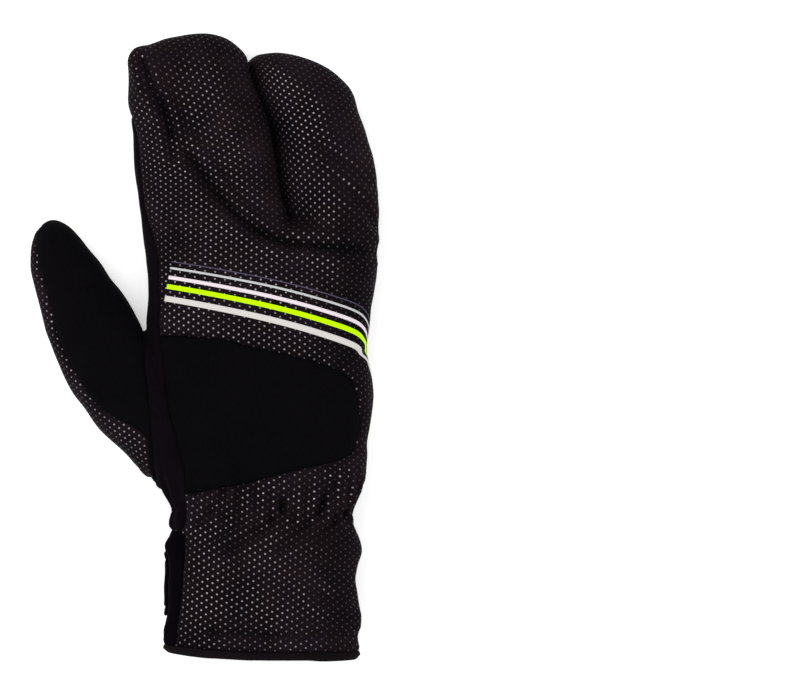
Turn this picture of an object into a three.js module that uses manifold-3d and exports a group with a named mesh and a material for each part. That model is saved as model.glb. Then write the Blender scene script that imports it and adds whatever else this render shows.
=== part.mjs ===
// Lobster claw mitt for the right hand, lying palm down on a surface. Millimetres, +Z up.
// The origin is in the palm where it rests, the fingers point along +Y and the thumb to -X.
// The mitt is a hollow shell of padded cloth: a body with a cuff, two finger lobes and a thumb.
// The shell is cut along the seams into the panels that it is sewn from.

import * as THREE from 'three';
import { mergeVertices } from 'three/addons/utils/BufferGeometryUtils.js';
import Module from 'manifold-3d';

const wasm = await Module();
wasm.setup();

// Lengths along the hand
const HAND_LENGTH = 208; // from the wrist line to the tip of the index lobe
const REST_TO_WRIST = 48; // from the origin back to the wrist line
const CUFF_LENGTH = 65; // from the wrist line to the open hem
const HEM_DEPTH = 3.2; // the turned edge round the mouth
const SLIT_DEPTH = 79; // from the tip of the index lobe down to the end of the finger slit
const THUMB_LENGTH = 111;
const THUMB_ROOT_ALONG = 28; // the thumb's root, ahead of the wrist line

// Widths and heights
const PALM_WIDTH = 100;
const CUFF_WIDTH = 86;
const THUMB_WIDTH = 40;
const THUMB_ROOT_SIDE = 42; // the thumb's root, left of the origin
const THUMB_SPLAY = 26.2; // degrees between the thumb and the fingers
const PALM_HEIGHT = 36;
const CUFF_THICKNESS = 33; // the cuff lies flattened, underside to top
const INDEX_HEIGHT = 32;
const OUTER_HEIGHT = 29;
const THUMB_HEIGHT = 31;
const SPLIT_HEIGHT = 15; // height of the seams that run along the thumb and the cuff's sides
const LOBE_SEAM_HEIGHT = 5; // the suede under the lobes ends below this height

// Cloth, seams and gathers
const WALL = 2.6; // padded softshell with its fleece
const LOBE_TIP_REACH = 1; // the round tip of a lobe, past its last section
const THUMB_TIP_REACH = 2;
const SEAM_GAP = 0.3;
const SLIT_GAP = 1.0; // clear space between the two finger lobes
const GATHER_DEPTH = 0.9; // pleats at the elastic of the wrist
const FOLD_DEPTH = 1.6; // creases across the back
const FOLD_WIDTH = 5;

// Hook and loop closure under the cuff
const TAB_WIDTH = 28;
const TAB_REACH = 28; // under the cuff, from its thumb-side edge to the round end
const TAB_ROUND = 12; // length of the round end
const TAB_OVERLAP = 6; // over the cuff, from its thumb-side edge to the sewn end
const TAB_THICKNESS = 2.0;
const PATCH_WIDTH = 35;
const PATCH_REACH = 30;
const PATCH_THICKNESS = 1.4;
const PATCH_CORNER = 4;
const CLOSURE_PLACE = 0.505; // share of the cuff's length, from the wrist line

const CUFF_LIFT = TAB_THICKNESS + PATCH_THICKNESS + 2 * SEAM_GAP; // room under the cuff
const WRIST_Y = -REST_TO_WRIST;
const HEM_Y = WRIST_Y - CUFF_LENGTH;
const TIP_Y = WRIST_Y + HAND_LENGTH;
const SLIT_Y = TIP_Y - SLIT_DEPTH;

const BODY_SIDES = 28;
const LOBE_SIDES = 22;
const PLEATS = BODY_SIDES / 2;
const TOP_ROUNDNESS = 2.4; // exponent of the section's curve: 2 is an ellipse
const UNDER_ROUNDNESS = 3.0;
const FAR = 60; // reach of a cutter past the shell
const LAP = 1; // overlap of two cutters of one panel

// Sections of the cuff. along: share of the cuff's length from the wrist line.
// left and right: share of its width. over: share of its thickness. pleat: share of the gather.
const CUFF_RIBS = [
  { along: 1.0, left: -0.497, right: 0.49, over: 1.0, pleat: 0 },
  { along: 0.95, left: -0.508, right: 0.497, over: 1.0, pleat: 0 },
  { along: 0.87, left: -0.507, right: 0.487, over: 0.99, pleat: 0 },
  { along: 0.75, left: -0.496, right: 0.503, over: 0.98, pleat: 0 },
  { along: 0.6, left: -0.497, right: 0.49, over: 0.97, pleat: 0 },
  { along: 0.42, left: -0.5, right: 0.477, over: 0.96, pleat: 0 },
  { along: 0.28, left: -0.5, right: 0.506, over: 0.95, pleat: 0.1 },
  { along: 0.14, left: -0.478, right: 0.484, over: 0.93, pleat: 0.6 },
  { along: 0.0, left: -0.45, right: 0.465, over: 0.89, pleat: 1 },
];

// Sections of the hand up to the slit. along: share of the hand's length from the wrist line.
// left and right: share of the palm's width. under: share of the cuff's lift.
// over: share of the palm's height.
const HAND_RIBS = [
  { along: 0.03, left: -0.4, right: 0.42, under: 0.7, over: 0.93, pleat: 0.8 },
  { along: 0.065, left: -0.405, right: 0.44, under: 0.4, over: 0.95, pleat: 0.4 },
  { along: 0.106, left: -0.415, right: 0.458, under: 0.1, over: 0.97, pleat: 0.1 },
  { along: 0.15, left: -0.43, right: 0.458, under: -0.15, over: 0.98, pleat: 0 },
  { along: 0.23, left: -0.46, right: 0.484, under: -0.3, over: 1.0, pleat: 0 },
  { along: 0.315, left: -0.485, right: 0.458, under: -0.3, over: 1.0, pleat: 0 },
  { along: 0.4, left: -0.502, right: 0.471, under: -0.3, over: 1.0, pleat: 0 },
  { along: 0.486, left: -0.502, right: 0.502, under: -0.3, over: 0.98, pleat: 0 },
  { along: 0.567, left: -0.515, right: 0.51, under: -0.3, over: 0.95, pleat: 0 },
];

// Sections of the two lobes. along: share from the slit's end to the lobe's tip.
// side: the lobe's free edge, slit: the slit at mid height, both shares of the palm's width.
// lean: how far the slit leans over at the top. under and over: shares of the lobe's height.
const INDEX_TIP = 1.0;
const INDEX_RIBS = [
  { along: -0.3, side: -0.47, slit: 0.12, lean: 0, under: 0.1, over: 0.85 },
  { along: -0.02, side: -0.532, slit: 0.066, lean: 0.092, under: -0.04, over: 1.0 },
  { along: 0.18, side: -0.554, slit: 0.04, lean: 0.08, under: -0.04, over: 1.03 },
  { along: 0.35, side: -0.57, slit: 0.025, lean: 0.071, under: -0.04, over: 1.0 },
  { along: 0.52, side: -0.578, slit: 0.002, lean: 0.055, under: -0.04, over: 0.97 },
  { along: 0.69, side: -0.592, slit: -0.031, lean: 0.031, under: 0, over: 0.9 },
  { along: 0.82, side: -0.594, slit: -0.06, lean: 0.006, under: 0.06, over: 0.8 },
  { along: 0.905, side: -0.575, slit: -0.095, lean: 0, under: 0.15, over: 0.69 },
  { along: 0.965, side: -0.51, slit: -0.135, lean: 0, under: 0.27, over: 0.58 },
  { along: 0.99, side: -0.43, slit: -0.17, lean: 0, under: 0.36, over: 0.49 },
];
const OUTER_TIP = 0.885;
const OUTER_RIBS = [
  { along: -0.3, side: 0.46, slit: 0.12, lean: 0, under: 0.1, over: 0.85 },
  { along: -0.02, side: 0.506, slit: 0.066, lean: 0.092, under: -0.04, over: 1.06 },
  { along: 0.2, side: 0.502, slit: 0.04, lean: 0.08, under: -0.04, over: 1.03 },
  { along: 0.39, side: 0.475, slit: 0.025, lean: 0.071, under: -0.04, over: 1.0 },
  { along: 0.58, side: 0.436, slit: 0.002, lean: 0.055, under: -0.03, over: 0.96 },
  { along: 0.735, side: 0.402, slit: -0.024, lean: 0.036, under: 0, over: 0.89 },
  { along: 0.855, side: 0.356, slit: -0.045, lean: 0.012, under: 0.07, over: 0.79 },
  { along: 0.935, side: 0.285, slit: -0.044, lean: 0, under: 0.18, over: 0.67 },
  { along: 0.985, side: 0.19, slit: -0.01, lean: 0, under: 0.31, over: 0.54 },
];

// Sections of the thumb. along: share of its length from the root.
// outer and inner: its two edges, shares of its width. under and over: shares of its height.
const THUMB_RIBS = [
  { along: -0.204, outer: -0.2, inner: 0, under: 0.12, over: 0.8 },
  { along: -0.152, outer: -0.253, inner: 0.1, under: 0.08, over: 0.92 },
  { along: -0.04, outer: -0.383, inner: 0.2, under: 0.03, over: 1.0 },
  { along: 0.117, outer: -0.52, inner: 0.3, under: -0.02, over: 1.03 },
  { along: 0.27, outer: -0.623, inner: 0.35, under: -0.03, over: 1.03 },
  { along: 0.405, outer: -0.675, inner: 0.35, under: -0.03, over: 1.0 },
  { along: 0.541, outer: -0.668, inner: 0.325, under: -0.03, over: 0.96 },
  { along: 0.667, outer: -0.62, inner: 0.27, under: -0.03, over: 0.91 },
  { along: 0.784, outer: -0.533, inner: 0.22, under: -0.02, over: 0.86 },
  { along: 0.874, outer: -0.475, inner: 0.165, under: 0.04, over: 0.79 },
  { along: 0.934, outer: -0.4, inner: 0.12, under: 0.12, over: 0.7 },
  { along: 0.978, outer: -0.3, inner: 0.06, under: 0.22, over: 0.58 },
];

// Creases across the back, from one end to the other. x: share of the palm's width,
// y: share of the hand's length. depth: share of the fold's depth.
const FOLDS = [
  { x: -0.488, y: 0.904, toX: -0.37, toY: 0.743, depth: 1 },
  { x: -0.33, y: 0.743, toX: -0.136, toY: 0.635, depth: 1 },
  { x: -0.136, y: 0.635, toX: 0.17, toY: 0.57, depth: 0.8 },
  { x: 0.17, y: 0.57, toX: 0.502, toY: 0.542, depth: 0.8 },
];

// Seam outlines in plan. x: share of the palm's width, or below the wrist of the cuff's.
// y: share of the hand's length, or below the wrist of the cuff's.
const SUEDE_LOBES = [
  [-0.03, 0.62], [-0.04, 0.697], [-0.053, 0.822], [-0.062, 0.889], [0.009, 0.903],
  [0.158, 0.897], [0.288, 0.861], [0.361, 0.821], [0.409, 0.768], [0.431, 0.696],
  [0.431, 0.59], [0.427, 0.53], [-0.7, 0.53], [-0.7, 0.848], [-0.574, 0.848],
  [-0.566, 0.87], [-0.508, 0.901], [-0.396, 0.92], [-0.286, 0.923], [-0.194, 0.91],
  [-0.128, 0.857], [-0.092, 0.768], [-0.07, 0.679],
];
const SUEDE_PALM = [
  [0.43, 0.57], [0.418, 0.411], [0.392, 0.277], [0.378, 0.144], [0.343, 0.038],
  [0.385, -0.14], [-0.7, -0.14], [-1.2, 0.1], [-0.75, 0.4], [-0.7, 0.57],
];
const SUEDE_EDGE = [
  [-0.75, 0.87], [-0.595, 0.868], [-0.552, 0.779], [-0.532, 0.697], [-0.506, 0.615],
  [-0.455, 0.529], [-0.452, 0.365], [-0.436, 0.298], [-0.404, 0.212], [-0.334, 0.077],
  [-0.335, 0.01], [-0.4, -0.14], [-0.8, -0.14], [-1.3, 0.1],
];
const KNUCKLE_PATCH = [
  [-0.452, 0.365], [-0.326, 0.364], [-0.172, 0.36], [-0.044, 0.343], [0.095, 0.329],
  [0.233, 0.312], [0.334, 0.296], [0.396, 0.275], [0.422, 0.248], [0.433, 0.214],
  [0.438, 0.18], [0.424, 0.141], [0.4, 0.115], [0.304, 0.1], [0.136, 0.083],
  [-0.044, 0.06], [-0.185, 0.047], [-0.334, 0.032], [-0.334, 0.077], [-0.404, 0.212],
  [-0.436, 0.298],
];
const THUMB_UNDER = [
  [-0.517, 0.366], [-0.44, 0.39], [-0.361, 0.415], [-0.299, 0.332], [-0.282, 0.29],
  [-0.286, 0.214], [-0.312, 0.159], [-0.343, 0.108], [-0.38, 0.02], [-0.5, 0.0],
  [-1.3, 0.05], [-1.3, 0.7], [-0.7, 0.65], [-0.6, 0.505], [-0.545, 0.442], [-0.527, 0.4],
];
const THUMB_OVER = [
  [-0.517, 0.366], [-0.493, 0.252], [-0.48, 0.146], [-0.475, 0.082], [-0.475, 0.0],
  [-1.3, 0.05], [-1.3, 0.7], [-0.7, 0.65], [-0.6, 0.505], [-0.545, 0.442], [-0.527, 0.4],
];
const THUMB_EDGE_OVER = [
  [-1.003, 0.575], [-0.99, 0.51], [-0.95, 0.442], [-0.92, 0.391], [-0.884, 0.324],
  [-0.832, 0.269], [-0.761, 0.22], [-0.686, 0.188], [-0.603, 0.167], [-0.493, 0.152],
  [-0.489, 0.03], [-0.8, -0.02], [-1.4, 0.1], [-1.4, 0.62], [-1.03, 0.62],
];
const THUMB_EDGE_UNDER = [
  [-0.99, 0.6], [-0.935, 0.563], [-0.92, 0.521], [-0.889, 0.476], [-0.823, 0.418],
  [-0.779, 0.37], [-0.722, 0.305], [-0.66, 0.25], [-0.612, 0.216], [-0.541, 0.155],
  [-0.497, 0.125], [-0.489, 0.03], [-0.8, -0.02], [-1.4, 0.1], [-1.4, 0.62], [-1.03, 0.62],
];
const GUSSET_OVER = [
  [-0.424, -0.14], [-0.44, -0.6], [-0.453, -1.1], [-0.9, -1.1], [-0.9, -0.14],
];
const GUSSET_UNDER = [
  [-0.474, -0.14], [-0.474, -1.1], [-0.9, -1.1], [-0.9, -0.14],
];
const CUFF_PALM = [
  [0.398, -0.14], [0.424, -1.1], [-0.8, -1.1], [-0.8, -0.14],
];

// The cloth of the back is parted in two more places: at the flex line over the roots of the fingers
// and at the wrist, in line with the cuff's seam under the palm.
const FINGER_BACK = [
  [-0.9, 0.7], [-0.37, 0.7], [-0.25, 0.67], [-0.136, 0.61], [0.02, 0.578], [0.17, 0.56],
  [0.335, 0.548], [0.8, 0.535], [0.8, 1.2], [-0.9, 1.2],
];
const CUFF_BACK = [
  [0.9, -0.14], [0.9, -1.1], [-0.9, -1.1], [-0.9, -0.14],
];

// Colours and finishes
const softshell = new THREE.MeshStandardMaterial({ color: 0x1f1b1c, roughness: 0.62, metalness: 0.05 });
const suede = new THREE.MeshStandardMaterial({ color: 0x0f0d11, roughness: 0.95, metalness: 0 });
const wipe = new THREE.MeshStandardMaterial({ color: 0x08070a, roughness: 0.98, metalness: 0 });
const stretch = new THREE.MeshStandardMaterial({ color: 0x0d0c0e, roughness: 0.9, metalness: 0 });
const loopPile = new THREE.MeshStandardMaterial({ color: 0x121113, roughness: 1.0, metalness: 0 });

// A signed power, for the section's rounded outline
function bend(value, exponent) {
  return Math.sign(value) * Math.abs(value) ** exponent;
}

// A place in plan from its shares of width and length
function place([x, y]) {
  if (y < 0) {
    return [x * CUFF_WIDTH, WRIST_Y + y * CUFF_LENGTH];
  }
  return [x * PALM_WIDTH, WRIST_Y + y * HAND_LENGTH];
}

// The distance from a point to a fold's line
function distanceToFold(fold, x, y) {
  const [startX, startY] = place([fold.x, fold.y]);
  const [endX, endY] = place([fold.toX, fold.toY]);
  const line = new THREE.Line3(new THREE.Vector3(startX, startY, 0), new THREE.Vector3(endX, endY, 0));
  const point = new THREE.Vector3(x, y, 0);
  return line.closestPointToPoint(point, true, new THREE.Vector3()).distanceTo(point);
}

// How far the creases sink the top at a point
function foldSink(x, y) {
  let sink = 0;
  for (const fold of FOLDS) {
    const ratio = distanceToFold(fold, x, y) / FOLD_WIDTH;
    sink = Math.max(sink, fold.depth * FOLD_DEPTH * Math.exp(-ratio * ratio));
  }
  return sink;
}

// A section stands upright on the plan line from its left edge to its right edge.
function ringOf(rib, sides, offset) {
  const half = (rib.right.distanceTo(rib.left)) / 2;
  const centre = rib.left.clone().add(rib.right).multiplyScalar(0.5);
  const across = rib.right.clone().sub(rib.left).normalize();
  const middle = (rib.under + rib.over) / 2;
  const tall = (rib.over - rib.under) / 2;
  const outline = [];
  for (let i = 0; i < sides; i += 1) {
    const angle = (2 * Math.PI * i) / sides;
    const power = 2 / (Math.sin(angle) < 0 ? UNDER_ROUNDNESS : TOP_ROUNDNESS);
    const swell = 1 + (GATHER_DEPTH * rib.pleat * Math.cos(PLEATS * angle)) / half;
    const rise = bend(Math.sin(angle), power);
    const side = bend(Math.cos(angle), power);
    const lean = rise * (side < 0 ? rib.leanLeft : rib.leanRight) * Math.abs(side);
    outline.push(new THREE.Vector2(half * side * swell + lean, middle + tall * rise * swell));
  }
  return outline.map((point, i) => {
    const before = outline[(i + sides - 1) % sides];
    const after = outline[(i + 1) % sides];
    const outward = new THREE.Vector2(after.y - before.y, before.x - after.x).normalize();
    const angle = (2 * Math.PI * i) / sides;
    const moved = point.clone().addScaledVector(outward, offset(angle));
    const x = centre.x + across.x * moved.x;
    const y = centre.y + across.y * moved.x;
    const share = Math.max(0, (point.y - middle) / tall);
    return new THREE.Vector3(x, y, moved.y - share * foldSink(x, y));
  });
}

// A closed solid through a row of sections, each end closed by a fan round its middle
function loft(ribs, sides, offset, endPoint) {
  const positions = [];
  const index = [];
  const rings = ribs.map((rib) => ringOf(rib, sides, offset));
  const ends = [rings[0], rings[rings.length - 1]].map((ring) => {
    const sum = ring.reduce((total, point) => total.add(point), new THREE.Vector3());
    return sum.multiplyScalar(1 / sides);
  });
  if (endPoint) {
    ends[1] = endPoint;
  }
  for (const point of [...rings.flat(), ...ends]) {
    positions.push(point.x, point.y, point.z);
  }
  const firstEnd = rings.length * sides;
  for (let i = 0; i < sides; i += 1) {
    const next = (i + 1) % sides;
    for (let r = 0; r + 1 < rings.length; r += 1) {
      const a = r * sides + i;
      const b = r * sides + next;
      index.push(a, a + sides, b, b, a + sides, b + sides);
    }
    const last = (rings.length - 1) * sides;
    index.push(firstEnd, i, next, firstEnd + 1, last + next, last + i);
  }
  const geometry = new THREE.BufferGeometry();
  geometry.setAttribute('position', new THREE.Float32BufferAttribute(positions, 3));
  geometry.setIndex(index);
  return geometry;
}

// A closed geometry as a solid that can be joined and cut
function solidOf(geometry) {
  const bare = geometry.clone();
  bare.deleteAttribute('normal');
  bare.deleteAttribute('uv');
  const merged = mergeVertices(bare, 1e-4);
  const vertProperties = new Float32Array(merged.attributes.position.array);
  const triVerts = new Uint32Array(merged.index.array);
  return new wasm.Manifold(new wasm.Mesh({ numProp: 3, vertProperties, triVerts }));
}

// A solid as a geometry again
function geometryOf(solid) {
  const mesh = solid.getMesh();
  const geometry = new THREE.BufferGeometry();
  geometry.setAttribute('position', new THREE.Float32BufferAttribute(mesh.vertProperties, 3));
  geometry.setIndex(Array.from(mesh.triVerts));
  geometry.computeVertexNormals();
  return geometry;
}

// An upright prism over a plan shape
function prism(shape, low, high) {
  const geometry = new THREE.ExtrudeGeometry(shape, { depth: high - low, bevelEnabled: false });
  geometry.translate(0, 0, low);
  return solidOf(geometry);
}

// A plan outline from shares, grown outward by a margin
function grownOutline(shares, margin) {
  const points = shares.map(place).map(([x, y]) => new THREE.Vector2(x, y));
  const turn = THREE.ShapeUtils.isClockWise(points) ? -1 : 1;
  return points.map((point, i) => {
    const before = points[(i + points.length - 1) % points.length];
    const after = points[(i + 1) % points.length];
    const inEdge = point.clone().sub(before).normalize();
    const outEdge = after.clone().sub(point).normalize();
    const tangent = inEdge.clone().add(outEdge).normalize();
    const outward = new THREE.Vector2(tangent.y, -tangent.x).multiplyScalar(turn);
    const stretch = 1 / Math.max(0.5, tangent.dot(inEdge));
    return point.clone().addScaledVector(outward, margin * stretch);
  });
}

// The rows of the body from the hem to the slit, as sections in millimetres
function bodyRibs(mouthReach) {
  const cuff = CUFF_RIBS.map((row) => ({
    left: new THREE.Vector2(row.left * CUFF_WIDTH, WRIST_Y - row.along * CUFF_LENGTH),
    right: new THREE.Vector2(row.right * CUFF_WIDTH, WRIST_Y - row.along * CUFF_LENGTH),
    under: CUFF_LIFT,
    over: CUFF_LIFT + row.over * CUFF_THICKNESS,
    pleat: row.pleat,
    leanLeft: 0,
    leanRight: 0,
  }));
  cuff[0].left.y -= mouthReach;
  cuff[0].right.y -= mouthReach;
  const hand = HAND_RIBS.map((row) => ({
    left: new THREE.Vector2(row.left * PALM_WIDTH, WRIST_Y + row.along * HAND_LENGTH),
    right: new THREE.Vector2(row.right * PALM_WIDTH, WRIST_Y + row.along * HAND_LENGTH),
    under: row.under * CUFF_LIFT,
    over: row.over * PALM_HEIGHT,
    pleat: row.pleat,
    leanLeft: 0,
    leanRight: 0,
  }));
  const last = hand[hand.length - 1];
  const rounded = { ...last, left: last.left.clone(), right: last.right.clone() };
  rounded.left.set(last.left.x * 0.97, SLIT_Y - SLIT_GAP);
  rounded.right.set(last.right.x * 0.97, SLIT_Y - SLIT_GAP);
  rounded.over = Math.min(INDEX_HEIGHT, OUTER_HEIGHT);
  return [...cuff, ...hand, rounded];
}

// The rows of one finger lobe; its slit edge keeps clear of the other lobe
function lobeRibs(rows, tipShare, height, onLeft) {
  const reach = (TIP_Y - SLIT_Y) * tipShare;
  const clear = (onLeft ? -SLIT_GAP : SLIT_GAP) / 2;
  return rows.map((row) => {
    const y = SLIT_Y + row.along * reach;
    const side = new THREE.Vector2(row.side * PALM_WIDTH, y);
    const slit = new THREE.Vector2(row.slit * PALM_WIDTH + clear, y);
    const lean = row.lean * PALM_WIDTH;
    return {
      left: onLeft ? side : slit,
      right: onLeft ? slit : side,
      under: row.under * height,
      over: row.over * height,
      pleat: 0,
      leanLeft: onLeft ? 0 : lean,
      leanRight: onLeft ? lean : 0,
    };
  });
}

// A place on the thumb from its distances along and across its axis
function onThumb(along, across) {
  const splay = THREE.MathUtils.degToRad(THUMB_SPLAY);
  const x = -THUMB_ROOT_SIDE - along * Math.sin(splay) + across * Math.cos(splay);
  const y = WRIST_Y + THUMB_ROOT_ALONG + along * Math.cos(splay) + across * Math.sin(splay);
  return new THREE.Vector2(x, y);
}

function thumbRibs() {
  return THUMB_RIBS.map((row) => ({
    left: onThumb(row.along * THUMB_LENGTH, row.outer * THUMB_WIDTH),
    right: onThumb(row.along * THUMB_LENGTH, row.inner * THUMB_WIDTH),
    under: row.under * THUMB_HEIGHT,
    over: row.over * THUMB_HEIGHT,
    pleat: 0,
    leanLeft: 0,
    leanRight: 0,
  }));
}

// The tip of a row of sections: past the last one, at half its height
function tipPoint(ribs, reach) {
  const last = ribs[ribs.length - 1];
  const middle = last.left.clone().add(last.right).multiplyScalar(0.5);
  const before = ribs[ribs.length - 2];
  const behind = before.left.clone().add(before.right).multiplyScalar(0.5);
  const forward = middle.clone().sub(behind).normalize();
  middle.addScaledVector(forward, reach);
  return new THREE.Vector3(middle.x, middle.y, (last.under + last.over) / 2);
}

// Sections drawn back from the tip, for the hollow inside the wall
function drawnBack(ribs, depth) {
  const first = ribs[0].left.clone().add(ribs[0].right).multiplyScalar(0.5);
  const last = ribs[ribs.length - 1].left.clone().add(ribs[ribs.length - 1].right).multiplyScalar(0.5);
  const axis = last.clone().sub(first);
  const full = axis.length();
  axis.normalize();
  return ribs.map((rib) => {
    const middle = rib.left.clone().add(rib.right).multiplyScalar(0.5).sub(first);
    const shift = (depth * middle.dot(axis)) / full;
    return {
      ...rib,
      left: rib.left.clone().addScaledVector(axis, -shift),
      right: rib.right.clone().addScaledVector(axis, -shift),
    };
  });
}

// The whole form at a distance from the cloth's outer face, cut flat where it rests
function form(distance, mouthReach) {
  const offset = () => distance;
  const back = Math.max(0, -distance);
  const index = drawnBack(lobeRibs(INDEX_RIBS, INDEX_TIP, INDEX_HEIGHT, true), back);
  const outer = drawnBack(lobeRibs(OUTER_RIBS, OUTER_TIP, OUTER_HEIGHT, false), back);
  const thumb = drawnBack(thumbRibs(), back);
  const body = solidOf(loft(bodyRibs(mouthReach), BODY_SIDES, offset));
  const whole = body
    .add(solidOf(loft(index, LOBE_SIDES, offset, tipPoint(index, LOBE_TIP_REACH))))
    .add(solidOf(loft(outer, LOBE_SIDES, offset, tipPoint(outer, LOBE_TIP_REACH))))
    .add(solidOf(loft(thumb, LOBE_SIDES, offset, tipPoint(thumb, THUMB_TIP_REACH))));
  const ground = new THREE.BoxGeometry(8 * PALM_WIDTH, 4 * HAND_LENGTH, FAR);
  ground.translate(0, 0, -distance - FAR / 2);
  return whole.subtract(solidOf(ground));
}

// A cutter for a panel: prisms over its plan outlines, each between two heights
function region(blocks) {
  return (margin) => blocks
    .map(({ plan, low = -FAR, high = FAR }) => {
      const shape = new THREE.Shape(grownOutline(plan, margin));
      return prism(shape, low - margin, high + margin);
    })
    .reduce((total, part) => total.add(part));
}

// Takes a panel out of what is left of the shell, with half the seam's gap on each side
function takePanel(shell, cutter) {
  const panel = shell.intersect(cutter(-SEAM_GAP / 2));
  const rest = shell.subtract(cutter(SEAM_GAP / 2));
  return { panel, rest };
}

// The band of the turned hem round the mouth
function hemCutter(margin) {
  const band = new THREE.BoxGeometry(2 * CUFF_WIDTH, 2 * HEM_DEPTH, 4 * FAR);
  band.translate(0, HEM_Y + margin, 0);
  return solidOf(band);
}

// A layer on the cuff between two heights above its cloth
function cuffLayer(lowOffset, highOffset) {
  const ribs = bodyRibs(0).slice(1, CUFF_RIBS.length);
  const outside = solidOf(loft(ribs, BODY_SIDES, highOffset));
  const inside = solidOf(loft(ribs, BODY_SIDES, lowOffset));
  return outside.subtract(inside);
}

// The tab lies on the cuff at its side, and on the loop patch under it
function tabLift(angle) {
  const under = THREE.MathUtils.smoothstep(-Math.sin(angle), 0.05, 0.6);
  return SEAM_GAP + under * (PATCH_THICKNESS + SEAM_GAP);
}

// The plan shape of the closure tab: straight sides and a round end
function tabShape(reach, round) {
  const edge = -CUFF_WIDTH / 2;
  const centre = WRIST_Y - CLOSURE_PLACE * CUFF_LENGTH;
  const shape = new THREE.Shape();
  shape.moveTo(edge - FAR / 4, centre - TAB_WIDTH / 2);
  shape.lineTo(edge + reach - round, centre - TAB_WIDTH / 2);
  if (round > 0) {
    shape.absellipse(edge + reach - round, centre, round, TAB_WIDTH / 2, -Math.PI / 2, Math.PI / 2);
  } else {
    shape.lineTo(edge + reach, centre + TAB_WIDTH / 2);
  }
  shape.lineTo(edge - FAR / 4, centre + TAB_WIDTH / 2);
  return shape;
}

function closureTab() {
  const layer = cuffLayer(tabLift, (angle) => tabLift(angle) + TAB_THICKNESS);
  const under = prism(tabShape(TAB_REACH, TAB_ROUND), -FAR, SPLIT_HEIGHT);
  const over = prism(tabShape(TAB_OVERLAP, 0), SPLIT_HEIGHT - LAP, FAR);
  return layer.intersect(under.add(over));
}

// The fuzzy patch that the tab grips, a rectangle with round corners
function loopPatch() {
  const left = -CUFF_WIDTH / 2 + PATCH_CORNER;
  const right = -CUFF_WIDTH / 2 + PATCH_REACH;
  const centre = WRIST_Y - CLOSURE_PLACE * CUFF_LENGTH;
  const low = centre - PATCH_WIDTH / 2;
  const high = centre + PATCH_WIDTH / 2;
  const round = PATCH_CORNER;
  const shape = new THREE.Shape();
  shape.moveTo(left, low);
  shape.lineTo(right - round, low);
  shape.absarc(right - round, low + round, round, -Math.PI / 2, 0);
  shape.absarc(right - round, high - round, round, 0, Math.PI / 2);
  shape.lineTo(left, high);
  const layer = cuffLayer(() => SEAM_GAP, () => SEAM_GAP + PATCH_THICKNESS);
  return layer.intersect(prism(shape, -FAR, SPLIT_HEIGHT / 2));
}

// The panels in the order in which they are taken from the shell
const PANELS = [
  { name: 'hem_binding', material: stretch, cutter: hemCutter },
  {
    name: 'cuff_gusset',
    material: stretch,
    cutter: region([
      { plan: GUSSET_UNDER, high: SPLIT_HEIGHT },
      { plan: GUSSET_OVER, low: SPLIT_HEIGHT - LAP },
    ]),
  },
  {
    name: 'thumb_edge_gusset',
    material: softshell,
    cutter: region([
      { plan: THUMB_EDGE_UNDER, high: SPLIT_HEIGHT },
      { plan: THUMB_EDGE_OVER, low: SPLIT_HEIGHT - LAP },
    ]),
  },
  { name: 'thumb_back', material: wipe, cutter: region([{ plan: THUMB_OVER, low: SPLIT_HEIGHT }]) },
  { name: 'thumb_palm', material: suede, cutter: region([{ plan: THUMB_UNDER, high: SPLIT_HEIGHT }]) },
  {
    name: 'knuckle_panel',
    material: wipe,
    cutter: region([{ plan: KNUCKLE_PATCH, low: SPLIT_HEIGHT }]),
  },
  {
    name: 'palm_panel',
    material: suede,
    cutter: region([
      { plan: SUEDE_LOBES, high: LOBE_SEAM_HEIGHT },
      { plan: SUEDE_PALM, high: SPLIT_HEIGHT - LAP },
      { plan: SUEDE_EDGE },
    ]),
  },
  {
    name: 'cuff_palm',
    material: softshell,
    cutter: region([{ plan: CUFF_PALM, high: SPLIT_HEIGHT }]),
  },
  { name: 'finger_back', material: softshell, cutter: region([{ plan: FINGER_BACK }]) },
  { name: 'cuff_back', material: softshell, cutter: region([{ plan: CUFF_BACK }]) },
];

function meshOf(name, solid, material) {
  const mesh = new THREE.Mesh(geometryOf(solid), material);
  mesh.name = name;
  return mesh;
}

function buildMitt() {
  const mitt = new THREE.Group();
  let shell = form(0, 0).subtract(form(-WALL, FAR / 4));
  for (const { name, material, cutter } of PANELS) {
    const { panel, rest } = takePanel(shell, cutter);
    mitt.add(meshOf(name, panel, material));
    shell = rest;
  }
  mitt.add(meshOf('hand_back', shell, softshell));
  mitt.add(meshOf('loop_patch', loopPatch(), loopPile));
  mitt.add(meshOf('closure_tab', closureTab(), suede));
  return mitt;
}

export default buildMitt();
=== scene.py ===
"""Lobster claw mitt for the right hand, lying palm down.

The mitt is one soft form: a body with a cuff, two finger lobes and a thumb. Its surface is cut along
the seams into panels, and each panel becomes a closed piece of padded cloth with a lining inside.
Lengths here are millimetres and become metres when a mesh is made. +Y runs to the fingertips,
+Z from the palm to the back of the hand and -X to the thumb.
"""

import functools
import math

import bpy
import numpy as np
import openvdb
from bpy.props import FloatProperty, FloatVectorProperty, PointerProperty
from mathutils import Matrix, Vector
from mathutils.bvhtree import BVHTree
from mathutils.kdtree import KDTree


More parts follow.
